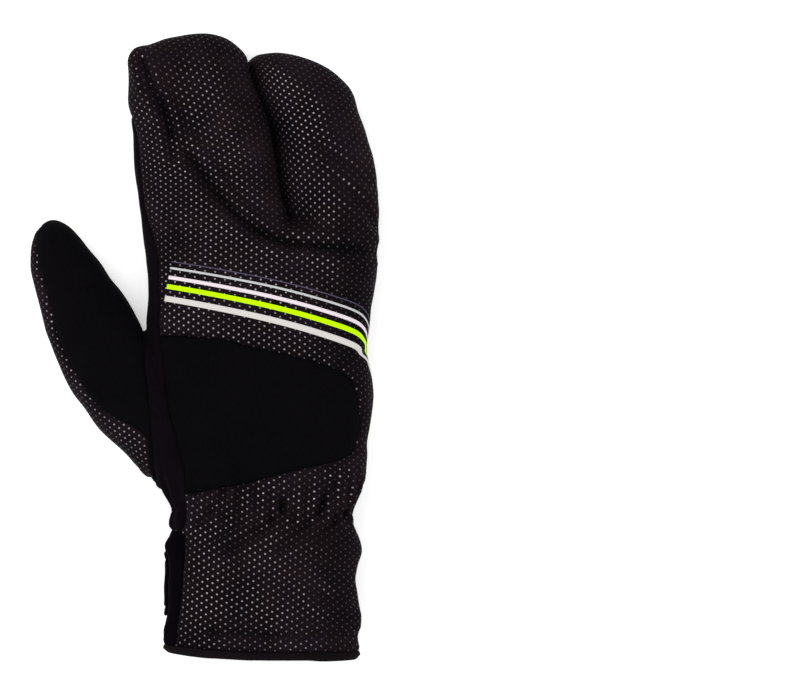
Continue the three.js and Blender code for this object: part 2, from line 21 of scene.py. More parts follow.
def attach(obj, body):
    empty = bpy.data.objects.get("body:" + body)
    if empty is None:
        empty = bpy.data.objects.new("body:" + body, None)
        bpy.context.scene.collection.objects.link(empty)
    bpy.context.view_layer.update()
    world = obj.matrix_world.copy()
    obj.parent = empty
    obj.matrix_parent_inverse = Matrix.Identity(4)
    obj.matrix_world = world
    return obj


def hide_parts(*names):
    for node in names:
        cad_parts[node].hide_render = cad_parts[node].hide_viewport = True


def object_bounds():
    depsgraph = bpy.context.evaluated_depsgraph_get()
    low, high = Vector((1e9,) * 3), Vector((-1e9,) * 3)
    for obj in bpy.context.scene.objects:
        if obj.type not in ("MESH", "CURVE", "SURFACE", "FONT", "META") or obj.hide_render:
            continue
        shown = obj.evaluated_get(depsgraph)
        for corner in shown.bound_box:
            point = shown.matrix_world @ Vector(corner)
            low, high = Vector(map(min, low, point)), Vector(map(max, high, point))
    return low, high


bl_info = {
    "name": "Lobster claw mitt",
    "version": (1, 0, 0),
    "blender": (4, 5, 0),
    "location": "3D View > Sidebar > Mitt",
    "description": "Builds a padded lobster claw mitt over its construction frame",
    "category": "Add Mesh",
}

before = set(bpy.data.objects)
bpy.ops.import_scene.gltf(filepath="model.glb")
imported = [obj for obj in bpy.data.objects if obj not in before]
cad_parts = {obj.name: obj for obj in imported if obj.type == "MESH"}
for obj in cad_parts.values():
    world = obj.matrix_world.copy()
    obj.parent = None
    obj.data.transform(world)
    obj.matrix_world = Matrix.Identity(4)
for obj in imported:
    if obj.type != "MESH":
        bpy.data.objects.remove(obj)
CAD_LOW, CAD_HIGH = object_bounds()

MM = 0.001
LOW = [v / MM for v in CAD_LOW]
HIGH = [v / MM for v in CAD_HIGH]

# Driving sizes, from the frame
HEM_Y = LOW[1]
MITT_LENGTH = HIGH[1] - LOW[1]
CUFF_LENGTH = 0.238 * MITT_LENGTH
HAND_LENGTH = MITT_LENGTH - CUFF_LENGTH
WRIST_Y = HEM_Y + CUFF_LENGTH
PALM_WIDTH = HIGH[0] / 0.51
CUFF_WIDTH = 0.86 * PALM_WIDTH
SPLIT_HEIGHT = 15.0
LOBE_SEAM_HEIGHT = 5.0
HEM_DEPTH = 3.2
SLIT_GAP = 1.3
THUMB_ROOT = (-0.42, 0.135)
THUMB_LENGTH = 111.0
THUMB_SPLAY = math.radians(26.2)

# Grids and the sizes of sewn details
CELL = 0.97
PLAN_CELL = 1.0
SNAP = 0.42
ON_EDGE = 0.12
SEAM_GAP = 0.3
FAR = 60.0
TOP_ROUNDNESS = 2.4
UNDER_ROUNDNESS = 3.0
BODY_RIM = 36.0
INDEX_RIM = 25.0
OUTER_RIM = 23.0
THUMB_RIM = 18.0
THUMB_BLEND = 3.0
FLOOR_BLEND = 4.0
SEED = 7

# Edges of the mitt in plan. x: share of the palm's width, y: share of the hand's length from the
# wrist; below the wrist, shares of the cuff's width and length.
LEFT_EDGE = [
    (-0.496, -1.3), (-0.497, -1.0), (-0.507, -0.957), (-0.511, -0.91), (-0.505, -0.84), (-0.498, -0.775),
    (-0.489, -0.73), (-0.48, -0.66), (-0.479, -0.5), (-0.48, -0.35), (-0.488, -0.29), (-0.495, -0.25),
    (-0.489, -0.216), (-0.467, -0.18), (-0.466, -0.155), (-0.476, -0.118), (-0.471, -0.08),
    (-0.45, -0.02), (-0.395, 0.035), (-0.41, 0.12), (-0.46, 0.23), (-0.49, 0.32), (-0.508, 0.37),
    (-0.506, 0.4), (-0.5, 0.44), (-0.5, 0.485), (-0.51, 0.53), (-0.522, 0.57),
]
RIGHT_EDGE = [
    (0.502, -1.3), (0.506, -1.0), (0.509, -0.955), (0.484, -0.885), (0.488, -0.84), (0.507, -0.76),
    (0.501, -0.68), (0.488, -0.58), (0.476, -0.48), (0.49, -0.38), (0.514, -0.28), (0.505, -0.2),
    (0.479, -0.12), (0.464, -0.05), (0.41, 0.012), (0.427, 0.04), (0.446, 0.065), (0.459, 0.104),
    (0.461, 0.145), (0.474, 0.175), (0.486, 0.218), (0.484, 0.266), (0.472, 0.309), (0.464, 0.335),
    (0.468, 0.37), (0.476, 0.408), (0.49, 0.45), (0.502, 0.491), (0.506, 0.527), (0.51, 0.573),
]
INDEX_SIDE = [
    (-0.532, 0.612), (-0.554, 0.697), (-0.566, 0.76), (-0.577, 0.823), (-0.589, 0.88),
    (-0.592, 0.93), (-0.59, 0.952), (-0.576, 0.967), (-0.55, 0.9765), (-0.53, 0.976), (-0.5, 0.983),
    (-0.425, 0.995), (-0.343, 1.003), (-0.274, 1.0065), (-0.213, 1.005), (-0.164, 0.9975),
    (-0.115, 0.982), (-0.088, 0.967), (-0.069, 0.951),
]
SLIT = [
    (-0.066, 0.945), (-0.047, 0.91), (-0.012, 0.863), (0.02, 0.813), (0.039, 0.755), (0.056, 0.692),
    (0.074, 0.642), (0.093, 0.618),
]
OUTER_SIDE = [
    (-0.045, 0.951), (-0.018, 0.9625), (0.031, 0.967), (0.088, 0.9675), (0.112, 0.965), (0.177, 0.9565),
    (0.251, 0.943), (0.332, 0.921), (0.381, 0.898), (0.409, 0.87), (0.4215, 0.847), (0.45, 0.812),
    (0.47, 0.769), (0.487, 0.737), (0.506, 0.694), (0.511, 0.643),
]
THUMB_SIDES = [
    (-0.33, 0.0), (-0.375, 0.009), (-0.41, 0.026), (-0.45, 0.046), (-0.49, 0.063), (-0.537, 0.083),
    (-0.62, 0.125), (-0.704, 0.167), (-0.774, 0.21), (-0.836, 0.252), (-0.884, 0.294), (-0.924, 0.337),
    (-0.955, 0.379), (-0.977, 0.421), (-0.998, 0.465), (-1.017, 0.506), (-1.021, 0.54), (-1.014, 0.572),
    (-0.982, 0.599), (-0.93, 0.612), (-0.87, 0.605), (-0.8, 0.573), (-0.757, 0.548), (-0.722, 0.527),
    (-0.668, 0.487), (-0.625, 0.464), (-0.578, 0.43), (-0.545, 0.398), (-0.508, 0.352), (-0.4, 0.27),
    (-0.25, 0.2), (-0.2, 0.1), (-0.22, 0.02),
]

# Heights of the form. First column: share of the hand's length (of the cuff's below the wrist).
# Second and third: underside and top, millimetres above the floor.
BODY_HEIGHTS = [
    (-1.3, 4.0, 37.0), (-1.0, 4.0, 37.0), (-0.6, 4.0, 36.2), (-0.28, 4.0, 35.4), (0.0, 3.8, 33.3),
    (0.035, 2.8, 33.5), (0.07, 1.6, 34.3), (0.12, 0.2, 35.0), (0.2, -1.0, 35.8), (0.33, -1.2, 36.0),
    (0.46, -1.2, 35.4), (0.56, -1.3, 34.2),
]
INDEX_HEIGHTS = [
    (0.65, -1.3, 33.3), (0.75, -1.3, 32.4), (0.85, -1.0, 31.2), (0.95, 0.2, 29.5), (1.05, 0.8, 28.5),
]
OUTER_HEIGHTS = [
    (0.65, -1.2, 31.2), (0.75, -1.2, 30.0), (0.85, -1.0, 28.8), (0.93, -0.2, 27.4), (1.05, 0.6, 26.5),
]
# First column: share of the thumb's length from its root.
THUMB_HEIGHTS = [
    (-0.3, 3.0, 30.0), (-0.1, 1.2, 31.5), (0.12, -0.6, 32.0), (0.3, -0.9, 32.0), (0.45, -0.9, 30.8),
    (0.6, -0.9, 29.2), (0.75, -0.9, 27.4), (0.9, -0.4, 26.0), (1.1, 0.4, 25.0),
]
# How far the slit leans over at the top, share of the palm's width, along the hand
SLIT_LEAN = [(0.45, 0.0), (0.55, 0.05), (0.618, 0.115), (0.692, 0.096), (0.755, 0.085), (0.813, 0.075),
             (0.863, 0.062), (0.91, 0.055), (0.95, 0.052), (1.0, 0.04)]

# The printed dots' lattice along the hand: share, lean of its columns, slope of its rows
PRINT_TURN = [
    (-0.5, 0.056, -0.121), (-0.05, 0.05, -0.115), (0.3, 0.035, -0.095), (0.56, 0.02, -0.075),
    (0.66, 0.0, -0.02), (0.75, -0.13, 0.06), (0.84, -0.22, 0.07), (0.95, -0.27, 0.03), (1.05, -0.27, 0.0),
]

# Seam outlines in plan, shares as above
SUEDE_LOBES = [
    (-0.03, 0.62), (-0.04, 0.697), (-0.053, 0.822), (-0.062, 0.889), (0.009, 0.903),
    (0.158, 0.897), (0.288, 0.861), (0.361, 0.821), (0.409, 0.768), (0.431, 0.696),
    (0.431, 0.59), (0.427, 0.53), (-0.7, 0.53), (-0.7, 0.848), (-0.574, 0.848),
    (-0.566, 0.87), (-0.508, 0.901), (-0.396, 0.92), (-0.286, 0.923), (-0.194, 0.91),
    (-0.128, 0.857), (-0.092, 0.768), (-0.07, 0.679),
]
SUEDE_PALM = [
    (0.43, 0.57), (0.418, 0.411), (0.392, 0.277), (0.378, 0.144), (0.343, 0.038),
    (0.385, -0.14), (-0.7, -0.14), (-1.2, 0.1), (-0.75, 0.4), (-0.7, 0.57),
]
SUEDE_EDGE = [
    (-0.75, 0.87), (-0.595, 0.868), (-0.552, 0.779), (-0.532, 0.697), (-0.506, 0.615),
    (-0.455, 0.529), (-0.452, 0.365), (-0.436, 0.298), (-0.404, 0.212), (-0.334, 0.077),
    (-0.335, 0.01), (-0.4, -0.14), (-0.8, -0.14), (-1.3, 0.1),
]
KNUCKLE_PATCH = [
    (-0.6, 0.365), (-0.326, 0.364), (-0.172, 0.36), (-0.044, 0.343), (0.095, 0.329),
    (0.233, 0.312), (0.334, 0.296), (0.396, 0.275), (0.422, 0.248), (0.433, 0.214),
    (0.438, 0.18), (0.424, 0.141), (0.4, 0.115), (0.304, 0.1), (0.136, 0.083),
    (-0.044, 0.06), (-0.185, 0.047), (-0.334, 0.032), (-0.6, 0.032),
]
# The ways of the thumb's seam outlines round the thumb, outside it
PAST_THUMB = [(-1.3, 0.05), (-1.3, 0.7), (-0.7, 0.65), (-0.6, 0.505), (-0.545, 0.442), (-0.527, 0.4)]
PAST_THUMB_EDGE = [(-0.489, 0.03), (-0.8, -0.02), (-1.4, 0.1), (-1.4, 0.62), (-1.03, 0.62)]
THUMB_UNDER = [
    (-0.517, 0.366), (-0.44, 0.39), (-0.361, 0.415), (-0.299, 0.332), (-0.282, 0.29), (-0.286, 0.214),
    (-0.312, 0.159), (-0.343, 0.108), (-0.38, 0.02), (-0.5, 0.0), *PAST_THUMB,
]
THUMB_OVER = [
    (-0.517, 0.366), (-0.493, 0.252), (-0.48, 0.146), (-0.475, 0.082), (-0.475, 0.0), *PAST_THUMB,
]
THUMB_EDGE_OVER = [
    (-1.003, 0.575), (-0.985, 0.52), (-0.955, 0.47), (-0.937, 0.44), (-0.915, 0.395), (-0.892, 0.352),
    (-0.862, 0.324), (-0.838, 0.3), (-0.795, 0.272), (-0.768, 0.248), (-0.728, 0.224), (-0.678, 0.205),
    (-0.625, 0.19), (-0.571, 0.181), (-0.526, 0.166), (-0.493, 0.152), *PAST_THUMB_EDGE,
]
THUMB_EDGE_UNDER = [
    (-0.99, 0.6), (-0.935, 0.563), (-0.92, 0.521), (-0.889, 0.476), (-0.823, 0.418), (-0.779, 0.37),
    (-0.722, 0.305), (-0.66, 0.25), (-0.612, 0.216), (-0.541, 0.155), (-0.497, 0.125), *PAST_THUMB_EDGE,
]
PAST_CUFF = [(-0.9, -1.1), (-0.9, -0.14)]
GUSSET_OVER = [(-0.392, -0.14), (-0.397, -0.35), (-0.415, -0.6), (-0.437, -0.85), (-0.452, -1.1), *PAST_CUFF]
GUSSET_UNDER = [(-0.474, -0.14), (-0.474, -1.1), *PAST_CUFF]
CUFF_PALM = [(0.398, -0.14), (0.424, -1.1), (-0.8, -1.1), (-0.8, -0.14)]

# Folds on the back. Each has its line in shares, then its width and depth in millimetres.
BACK_FOLDS = [
    ([(-0.528, 0.95), (-0.484, 0.895), (-0.431, 0.846), (-0.4, 0.802), (-0.383, 0.745)], 3.4, 2.3),
    ([(-0.343, 0.766), (-0.29, 0.732), (-0.229, 0.692), (-0.163, 0.65), (-0.106, 0.62), (-0.031, 0.592),
      (0.084, 0.569), (0.2, 0.561), (0.33, 0.552), (0.502, 0.542)], 3.8, 2.0),
    ([(0.33, 0.7), (0.42, 0.66), (0.5, 0.6)], 3.6, 1.3),
    ([(0.24, 0.78), (0.36, 0.73), (0.47, 0.69)], 4.4, 1.1),
    ([(0.34, 0.305), (0.42, 0.325), (0.48, 0.335)], 3.0, 0.9),
    ([(-0.47, 0.66), (-0.4, 0.62), (-0.34, 0.56)], 4.4, 0.9),
]
CUFF_FOLDS = [
    ([(-0.16, -0.27), (-0.05, -0.17), (0.06, -0.06), (0.12, 0.03)], 3.6, 1.7),
    ([(0.1, -0.26), (0.2, -0.15), (0.28, -0.04), (0.32, 0.05)], 3.4, 1.4),
    ([(0.3, -0.2), (0.36, -0.1), (0.4, 0.0)], 3.0, 1.2),
    ([(-0.3, -0.06), (-0.22, 0.0), (-0.16, 0.04)], 3.0, 1.2),
    ([(-0.34, -0.42), (-0.2, -0.3)], 3.8, 0.9),
    ([(-0.24, -0.805), (0.05, -0.83), (0.3, -0.825), (0.49, -0.84)], 2.6, 1.1),
    ([(-0.5, -0.86), (-0.24, -0.805)], 2.6, 0.6),
    ([(0.3, -0.56), (0.4, -0.6), (0.5, -0.62)], 4.5, 1.0),
]
PALM_FOLDS = [
    ([(-0.46, 0.39), (-0.36, 0.3), (-0.3, 0.16)], 3.0, 0.6),
    ([(-0.4, 0.5), (0.0, 0.44), (0.36, 0.42)], 4.0, 0.6),
]

# How a piece of cloth is closed, millimetres: the lining's step back at a seam and how far it follows a
# fold, how far up the mouth's edge reaches and its bulge, and the depths between which painted shade darkens a
# fold
LINING_INSET = 0.02
LINING_SLACK = 0.8
MOUTH_BAND = 0.4
MOUTH_SWELL = 0.9
PAINTED_SHADE_DEPTHS = (0.5, 2.6)
NO_STRIPE = -500.0

# The closure under the cuff
CLOSURE_Y = WRIST_Y - 0.505 * CUFF_LENGTH
TAB_WIDTH = 28.0
TAB_REACH = 28.0
TAB_ROUND = 12.0
TAB_OVERLAP = 1.0
TAB_THICKNESS = 2.0
TAB_RIM = 3.6
PATCH_WIDTH = 35.0
PATCH_REACH = 30.0
PATCH_THICKNESS = 1.4
PATCH_CORNER = 4.0
PATCH_LIFT = 0.3

# Gathers at the wrist: share of the hand's or cuff's length where they start and end
GATHER_TOP = 0.115
GATHER_LOW = -0.17
GATHER_PITCH = 6.2
GATHER_DEPTH = 1.15
# The groove of a seam, sharp and soft: depth and width
SEAM_GROOVES = ((0.9, 1.1), (0.35, 3.6))
# The cloth's unevenness: height, number of waves, the longest and the shortest
UNEVENNESS = ((0.6, 16, 60, 22), (0.14, 14, 14, 8))

# Stitching beside the thumb's seam in the palm
STITCH_LINE = [
    (-0.345, 0.43), (-0.325, 0.4), (-0.277, 0.34), (-0.26, 0.29), (-0.262, 0.214), (-0.288, 0.159),
    (-0.32, 0.108), (-0.35, 0.04),
]
STITCH_PITCH = 2.4
STITCH_SPREAD = 3.0
THREAD_SIZE = 0.42
THREAD_SIDES = 6

# The printed stripes. Each row: distance up from the bright stripe's middle, width, colour.
STRIPES = [
    (11.6, 0.45, (0.065, 0.055, 0.095)),
    (8.6, 0.95, (0.50, 0.50, 0.51)),
    (4.25, 1.65, (0.72, 0.64, 0.68)),
    (0.0, 2.15, (0.50, 1.0, 0.0)),
    (-5.6, 2.55, (0.60, 0.57, 0.55)),
]
# The bright stripe's middle: place across, round the outer side, and place along the hand, millimetres.
STRIPE_LINE = [
    (-60.0, 52.5), (-40.5, 49.6), (-15.8, 45.2), (4.4, 40.9), (24.6, 35.5), (36.6, 31.6),
    (47.0, 27.7), (55.3, 22.4), (71.6, 4.6), (80.5, -9.0), (95.0, -35.0),
]
# Where the cloth turns down at the outer side: place across, height and reach of the turn, millimetres
OUTER_TURN = (36.0, 16.0, 17.0)
STRIPE_CUT = (-39.2, 60.7)
STRIPE_CUT_SLANT = 0.195
# The stripes spread a little towards the outer side: places across and widening there
STRIPE_WIDENING = ((-40.0, 75.0), (0.96, 1.12))

# What the photograph's frame spans, metres: its middle in plan, its width, and the height where it is so wide
VIEW_MIDDLE = (0.0607, 0.0235)
VIEW_WIDTH = 0.352
VIEW_HEIGHT = 0.016
FLOOR_REACH = 2.5
FLOOR_Z = -0.0004
# The lights: name, place, size and share of the main light's power
LIGHTS = (
    ("key_light", (-0.6, 0.45, 1.2), 0.9, 1.0),
    ("fill_light", (0.6, -0.4, 1.3), 1.0, 0.5),
)


def place(share):
    """A place in plan from its shares of width and length."""
    x, y = share
    if y < 0:
        return (x * CUFF_WIDTH, WRIST_Y + y * CUFF_LENGTH)
    return (x * PALM_WIDTH, WRIST_Y + y * HAND_LENGTH)


def along_hand(y):
    """The share of the hand's length at y, or of the cuff's below the wrist."""
    return np.where(y < WRIST_Y, (y - WRIST_Y) / CUFF_LENGTH, (y - WRIST_Y) / HAND_LENGTH)


def smooth_step(low, high, value):
    t = np.clip((value - low) / (high - low), 0.0, 1.0)
    return t * t * (3 - 2 * t)


def soft_max(a, b, reach):
    """The larger of two fields, with the corner between them filled over a reach."""
    h = np.clip(reach - np.abs(a - b), 0.0, None) / reach
    return np.maximum(a, b) + h * h * reach / 4


def spline(points, step):
    """A smooth line through points, in steps of about that length."""
    p = np.array(points, float)
    gaps = np.linalg.norm(np.diff(p, axis=0), axis=1)
    slope = np.diff(p, axis=0) / gaps[:, None]
    bend = (slope[:-1] * gaps[1:, None] + slope[1:] * gaps[:-1, None]) / (gaps[1:] + gaps[:-1])[:, None]
    tangent = np.vstack([slope[:1], bend, slope[-1:]])
    parts = []
    for i, gap in enumerate(gaps):
        t = np.linspace(0, 1, max(2, int(gap / step) + 1), endpoint=False)[:, None]
        parts.append(
            (2 * t**3 - 3 * t**2 + 1) * p[i] + (t**3 - 2 * t**2 + t) * gap * tangent[i]
            + (3 * t**2 - 2 * t**3) * p[i + 1] + (t**3 - t**2) * gap * tangent[i + 1]
        )
    return np.vstack(parts + [p[-1:]])


def profile(rows, column, at):
    """The value of one column of a table, on a smooth line through its rows."""
    line = spline([(row[0], row[column] * 0.01) for row in rows], 0.01)
    return np.interp(at, line[:, 0], line[:, 1] * 100)


def between(table, row, column):
    """A table's value at a fractional row and column, kept inside the table."""
    row = np.clip(row, 0, table.shape[0] - 1.001)
    column = np.clip(column, 0, table.shape[1] - 1.001)
    i, j = row.astype(int), column.astype(int)
    u, v = row - i, column - j
    return ((table[i, j] * (1 - u) + table[i + 1, j] * u) * (1 - v)
            + (table[i, j + 1] * (1 - u) + table[i + 1, j + 1] * u) * v)


class Plan:
    """A grid of values over the plan, read between its points."""

    low = np.array([LOW[0] - 14, LOW[1] - 18])
    shape = (int((HIGH[0] - LOW[0] + 28) / PLAN_CELL), int((HIGH[1] - LOW[1] + 34) / PLAN_CELL))

    def __init__(self, values):
        self.values = values

    @classmethod
    def axes(cls):
        x = cls.low[0] + PLAN_CELL * np.arange(cls.shape[0])
        y = cls.low[1] + PLAN_CELL * np.arange(cls.shape[1])
        return x[:, None], y[None, :]

    def softened(self, rounds):
        values = self.values
        for _ in range(rounds):
            for axis in (0, 1):
                padded = np.pad(values, [(1, 1) if a == axis else (0, 0) for a in (0, 1)], mode="edge")
                ahead = np.take(padded, range(2, padded.shape[axis]), axis)
                behind = np.take(padded, range(0, padded.shape[axis] - 2), axis)
                values = values / 2 + (ahead + behind) / 4
        return Plan(values)

    def at(self, x, y):
        return between(self.values, (x - self.low[0]) / PLAN_CELL, (y - self.low[1]) / PLAN_CELL)


def stretch_gap(x, y, start, end):
    """The squared distance in plan from places to a straight stretch."""
    dx, dy = end - start
    t = np.clip(((x - start[0]) * dx + (y - start[1]) * dy) / (dx * dx + dy * dy), 0, 1)
    return (x - start[0] - t * dx) ** 2 + (y - start[1] - t * dy) ** 2


def inside_distance(outline):
    """The distance inside a closed outline at each point of the plan, negative outside it."""
    x, y = Plan.axes()
    best = np.full(Plan.shape, np.inf)
    inside = np.zeros(Plan.shape, bool)
    for start, end in zip(outline, np.roll(outline, -1, axis=0)):
        if (start == end).all():
            continue
        best = np.minimum(best, stretch_gap(x, y, start, end))
        if start[1] != end[1]:
            edge = (end[0] - start[0]) * (y - start[1]) / (end[1] - start[1]) + start[0]
            inside ^= ((start[1] > y) != (end[1] > y)) & (x < edge)
    return Plan(np.where(inside, np.sqrt(best), -np.sqrt(best)))


def lines_of(*parts):
    """A closed outline from parts, each a smooth line through its shares."""
    return np.vstack([spline([place(s) for s in part], 2.0) for part in parts])


@functools.cache
def outlines():
    """The plan distance inside each branch of the form."""
    gap = SLIT_GAP / 2 / PALM_WIDTH
    index_slit = [(x - gap, y) for x, y in SLIT]
    outer_slit = [(x + gap, y) for x, y in reversed(SLIT)]
    index = lines_of(LEFT_EDGE + INDEX_SIDE, index_slit, [(0.2, 0.618), (0.51, 0.6)], RIGHT_EDGE[::-1])
    outer = lines_of(LEFT_EDGE, [(-0.53, 0.6), (-0.2, 0.618)], outer_slit, OUTER_SIDE + RIGHT_EDGE[::-1])
    thumb = lines_of(THUMB_SIDES)
    return [inside_distance(line).softened(3) for line in (index, outer, thumb)]


def section(z, depth, under, over, rim):
    """A cushion's section at a distance inside its outline. It is positive inside the form."""
    middle = (over + under) / 2
    tall = (over - under) / 2
    power = np.where(z > middle, TOP_ROUNDNESS, UNDER_ROUNDNESS)
    inset = np.clip((rim - depth) / rim, 0.0, None)
    rise = np.abs(z - middle) / tall
    return (1 - (inset**power + rise**power) ** (1 / power)) * np.minimum(rim, tall)


def branch_sizes(x, y, branch):
    """The underside, the top and the rim's reach of a branch at places in plan."""
    if branch == 2:
        along = ((x - THUMB_ROOT[0] * PALM_WIDTH) * -math.sin(THUMB_SPLAY)
                 + (y - WRIST_Y - THUMB_ROOT[1] * HAND_LENGTH) * math.cos(THUMB_SPLAY)) / THUMB_LENGTH
        return profile(THUMB_HEIGHTS, 1, along), profile(THUMB_HEIGHTS, 2, along), THUMB_RIM
    rows = BODY_HEIGHTS + (INDEX_HEIGHTS, OUTER_HEIGHTS)[branch]
    along = along_hand(y)
    lobe_rim = (INDEX_RIM, OUTER_RIM)[branch]
    rim = BODY_RIM + (lobe_rim - BODY_RIM) * smooth_step(0.4, 0.68, along)
    return profile(rows, 1, along), profile(rows, 2, along), rim


def branch_depth(x, y, z, branch):
    """The distance inside a branch's outline, with the slit between the lobes leaning over."""
    under, over, rim = branch_sizes(x, y, branch)
    if branch < 2:
        near_slit = smooth_step(-40, -12, x) * (1 - smooth_step(16, 42, x))
        height = np.clip((2 * z - over - under) / (over - under), -1.0, 1.0)
        x = x - profile(SLIT_LEAN, 1, along_hand(y)) * PALM_WIDTH * height * near_slit
    return outlines()[branch].at(x, y), under, over, rim


def form(points):
    """The whole form's field: positive inside, about a distance near the surface."""
    x, y, z = np.moveaxis(points, -1, 0)
    index, outer, thumb = (section(z, *branch_depth(x, y, z, branch)) for branch in range(3))
    whole = soft_max(np.maximum(index, outer), thumb, THUMB_BLEND)
    return -soft_max(-whole, -z, FLOOR_BLEND)


def gradient(field, points, step=0.35):
    """The slope of a field at points, from differences."""
    slope = np.empty_like(points)
    for axis in range(3):
        move = np.zeros(3)
        move[axis] = step
        slope[:, axis] = (field(points + move) - field(points - move)) / (2 * step)
    return slope


def unit(vectors):
    return vectors / np.linalg.norm(vectors, axis=1)[:, None]


def outward_at(points):
    """The outward direction of the form at points."""
    return unit(-gradient(form, points))


def step_to_edge(value, slope, least, reach):
    """The step along a field's slope to where the field is 0, no longer than a reach."""
    move = -(value / np.maximum((slope**2).sum(1), least))[:, None] * slope
    length = np.linalg.norm(move, axis=1)
    return move * np.minimum(1.0, reach / np.maximum(length, 1e-9))[:, None]


def settle(points, rounds=3):
    """Moves points onto the form's surface."""
    for _ in range(rounds):
        points = points + step_to_edge(form(points), gradient(form, points), 0.05, 0.7)
    return points


def edges_of(faces):
    """The directed edges of triangles."""
    return np.vstack([faces[:, [0, 1]], faces[:, [1, 2]], faces[:, [2, 0]]])


def neighbours_mean(points, faces):
    """The mean of each point's neighbours along the faces' edges."""
    total = np.zeros_like(points)
    count = np.zeros(len(points))
    for a, b in ((0, 1), (1, 2), (2, 0)):
        for i, j in ((faces[:, a], faces[:, b]), (faces[:, b], faces[:, a])):
            for axis in range(3):
                total[:, axis] += np.bincount(i, points[j, axis], len(points))
            count += np.bincount(i, minlength=len(points))
    return total / np.maximum(count, 1)[:, None]


@functools.cache
def skin():
    """The form's surface as triangles, their corners on the surface and evenly spread."""
    low = np.array([LOW[0] - 4, LOW[1] - 6, -4.0])
    counts = [int((HIGH[a] - low[a] + 5) / CELL) for a in range(3)]
    axes = [low[a] + CELL * np.arange(counts[a]) for a in range(3)]
    points = np.stack(np.meshgrid(*axes, indexing="ij"), axis=-1)
    values = np.empty(counts, np.float32)
    for start in range(0, counts[0], 30):
        values[start:start + 30] = form(points[start:start + 30])
    band = 3 * CELL
    grid = openvdb.FloatGrid(background=band)
    grid.copyFromArray(np.clip(-values, -band, band).astype(np.float32))
    found, quads = grid.convertToQuads(isovalue=0)
    corners = settle(low + CELL * found.astype(float))
    quads = quads.astype(int)
    faces = np.vstack([quads[:, [0, 1, 2]], quads[:, [0, 2, 3]]])
    edge = np.cross(corners[faces[:, 1]] - corners[faces[:, 0]], corners[faces[:, 2]] - corners[faces[:, 0]])
    outward = -gradient(form, corners[faces].mean(1)[:2000])
    if (edge[:2000] * outward).sum() < 0:
        faces = faces[:, ::-1]
    for _ in range(3):
        corners = settle(corners + 0.5 * (neighbours_mean(corners, faces) - corners), 1)
    return settle(corners, 2), faces


class Cloth:
    """The skin of the mitt, cut step by step into panels."""

    def __init__(self, points, faces):
        self.points = points
        self.faces = faces
        self.owner = np.full(len(faces), -1)
        self.seam = np.zeros(len(points), bool)

    def take(self, region, owner):
        """Cuts the faces that are left along a region's edge and gives those inside to an owner."""
        left = self.owner < 0
        used = np.zeros(len(self.points), bool)
        used[self.faces[left].ravel()] = True
        value = self.snap(region, used)
        faces = self.faces[left]
        signs = np.sign(value)[faces]
        crossing = (signs.min(1) < 0) & (signs.max(1) > 0)
        mixed, signs = faces[crossing], signs[crossing]
        has_zero = (signs == 0).any(1)
        lone = np.where(has_zero, 0, np.where(signs.sum(1) > 0, -1, 1))
        first = (signs == lone[:, None]).argmax(1)
        turned = mixed[np.arange(len(mixed))[:, None], (first[:, None] + np.arange(3)) % 3]
        one, two = turned[has_zero], turned[~has_zero]
        ends = np.sort(np.vstack([one[:, 1:], two[:, :2], two[:, ::2]]), 1)
        count = len(self.points)
        unique, inverse = np.unique(ends[:, 0] * count + ends[:, 1], return_inverse=True)
        a, b = unique // count, unique % count
        share = value[a] / (value[a] - value[b])
        added = self.points[a] + share[:, None] * (self.points[b] - self.points[a])
        m, m1, m2 = np.split(inverse + count, [len(one), len(one) + len(two)])
        fresh = np.vstack([
            faces[~crossing],
            np.stack([one[:, 0], one[:, 1], m], 1), np.stack([one[:, 0], m, one[:, 2]], 1),
            np.stack([two[:, 0], m1, m2], 1), np.stack([m1, two[:, 1], two[:, 2]], 1),
            np.stack([m1, two[:, 2], m2], 1),
        ])
        self.points = np.vstack([self.points, settle(added, 1)])
        self.seam = np.concatenate([self.seam | (used & (value == 0)), np.ones(len(added), bool)])
        value = np.concatenate([value, np.zeros(len(added))])
        inside = value[fresh].sum(1) < 0
        self.faces = np.vstack([self.faces[~left], fresh])
        self.owner = np.concatenate([self.owner[~left], np.where(inside, owner, -1)])

    def snap(self, region, used):
        """Moves the free corners near a region's edge onto it and gives the region's values."""
        near = np.flatnonzero(used & ~self.seam & (np.abs(region(self.points)) < SNAP * CELL))
        for _ in range(3):
            spots = self.points[near]
            out = outward_at(spots)
            slope = gradient(region, spots)
            slope -= (slope * out).sum(1)[:, None] * out
            spots = spots + step_to_edge(region(spots), slope, 0.3, 0.5 * CELL)
            self.points[near] = settle(spots, 1)
        value = region(self.points)
        value[near[np.abs(value[near]) < ON_EDGE]] = 0.0
        return value


def above_mouth(points):
    """The distance up from the mouth's edge, which rises a little towards the thumb."""
    rise = 3.0 * np.clip((-4 - points[:, 0]) / 40, 0, None) ** 1.2
    return points[:, 1] - HEM_Y - rise


def region(*blocks):
    """A panel's region: prisms over plan outlines, each between two heights. Negative inside."""
    maps = []
    for shares, low, high in blocks:
        outline = np.array([place(s) for s in shares])
        maps.append((inside_distance(outline).softened(4), low, high))

    def value(points):
        x, y, z = points.T
        found = None
        for plan, low, high in maps:
            block = np.maximum(np.maximum(-plan.at(x, y), z - high), low - z)
            found = block if found is None else np.minimum(found, block)
        return found

    return value


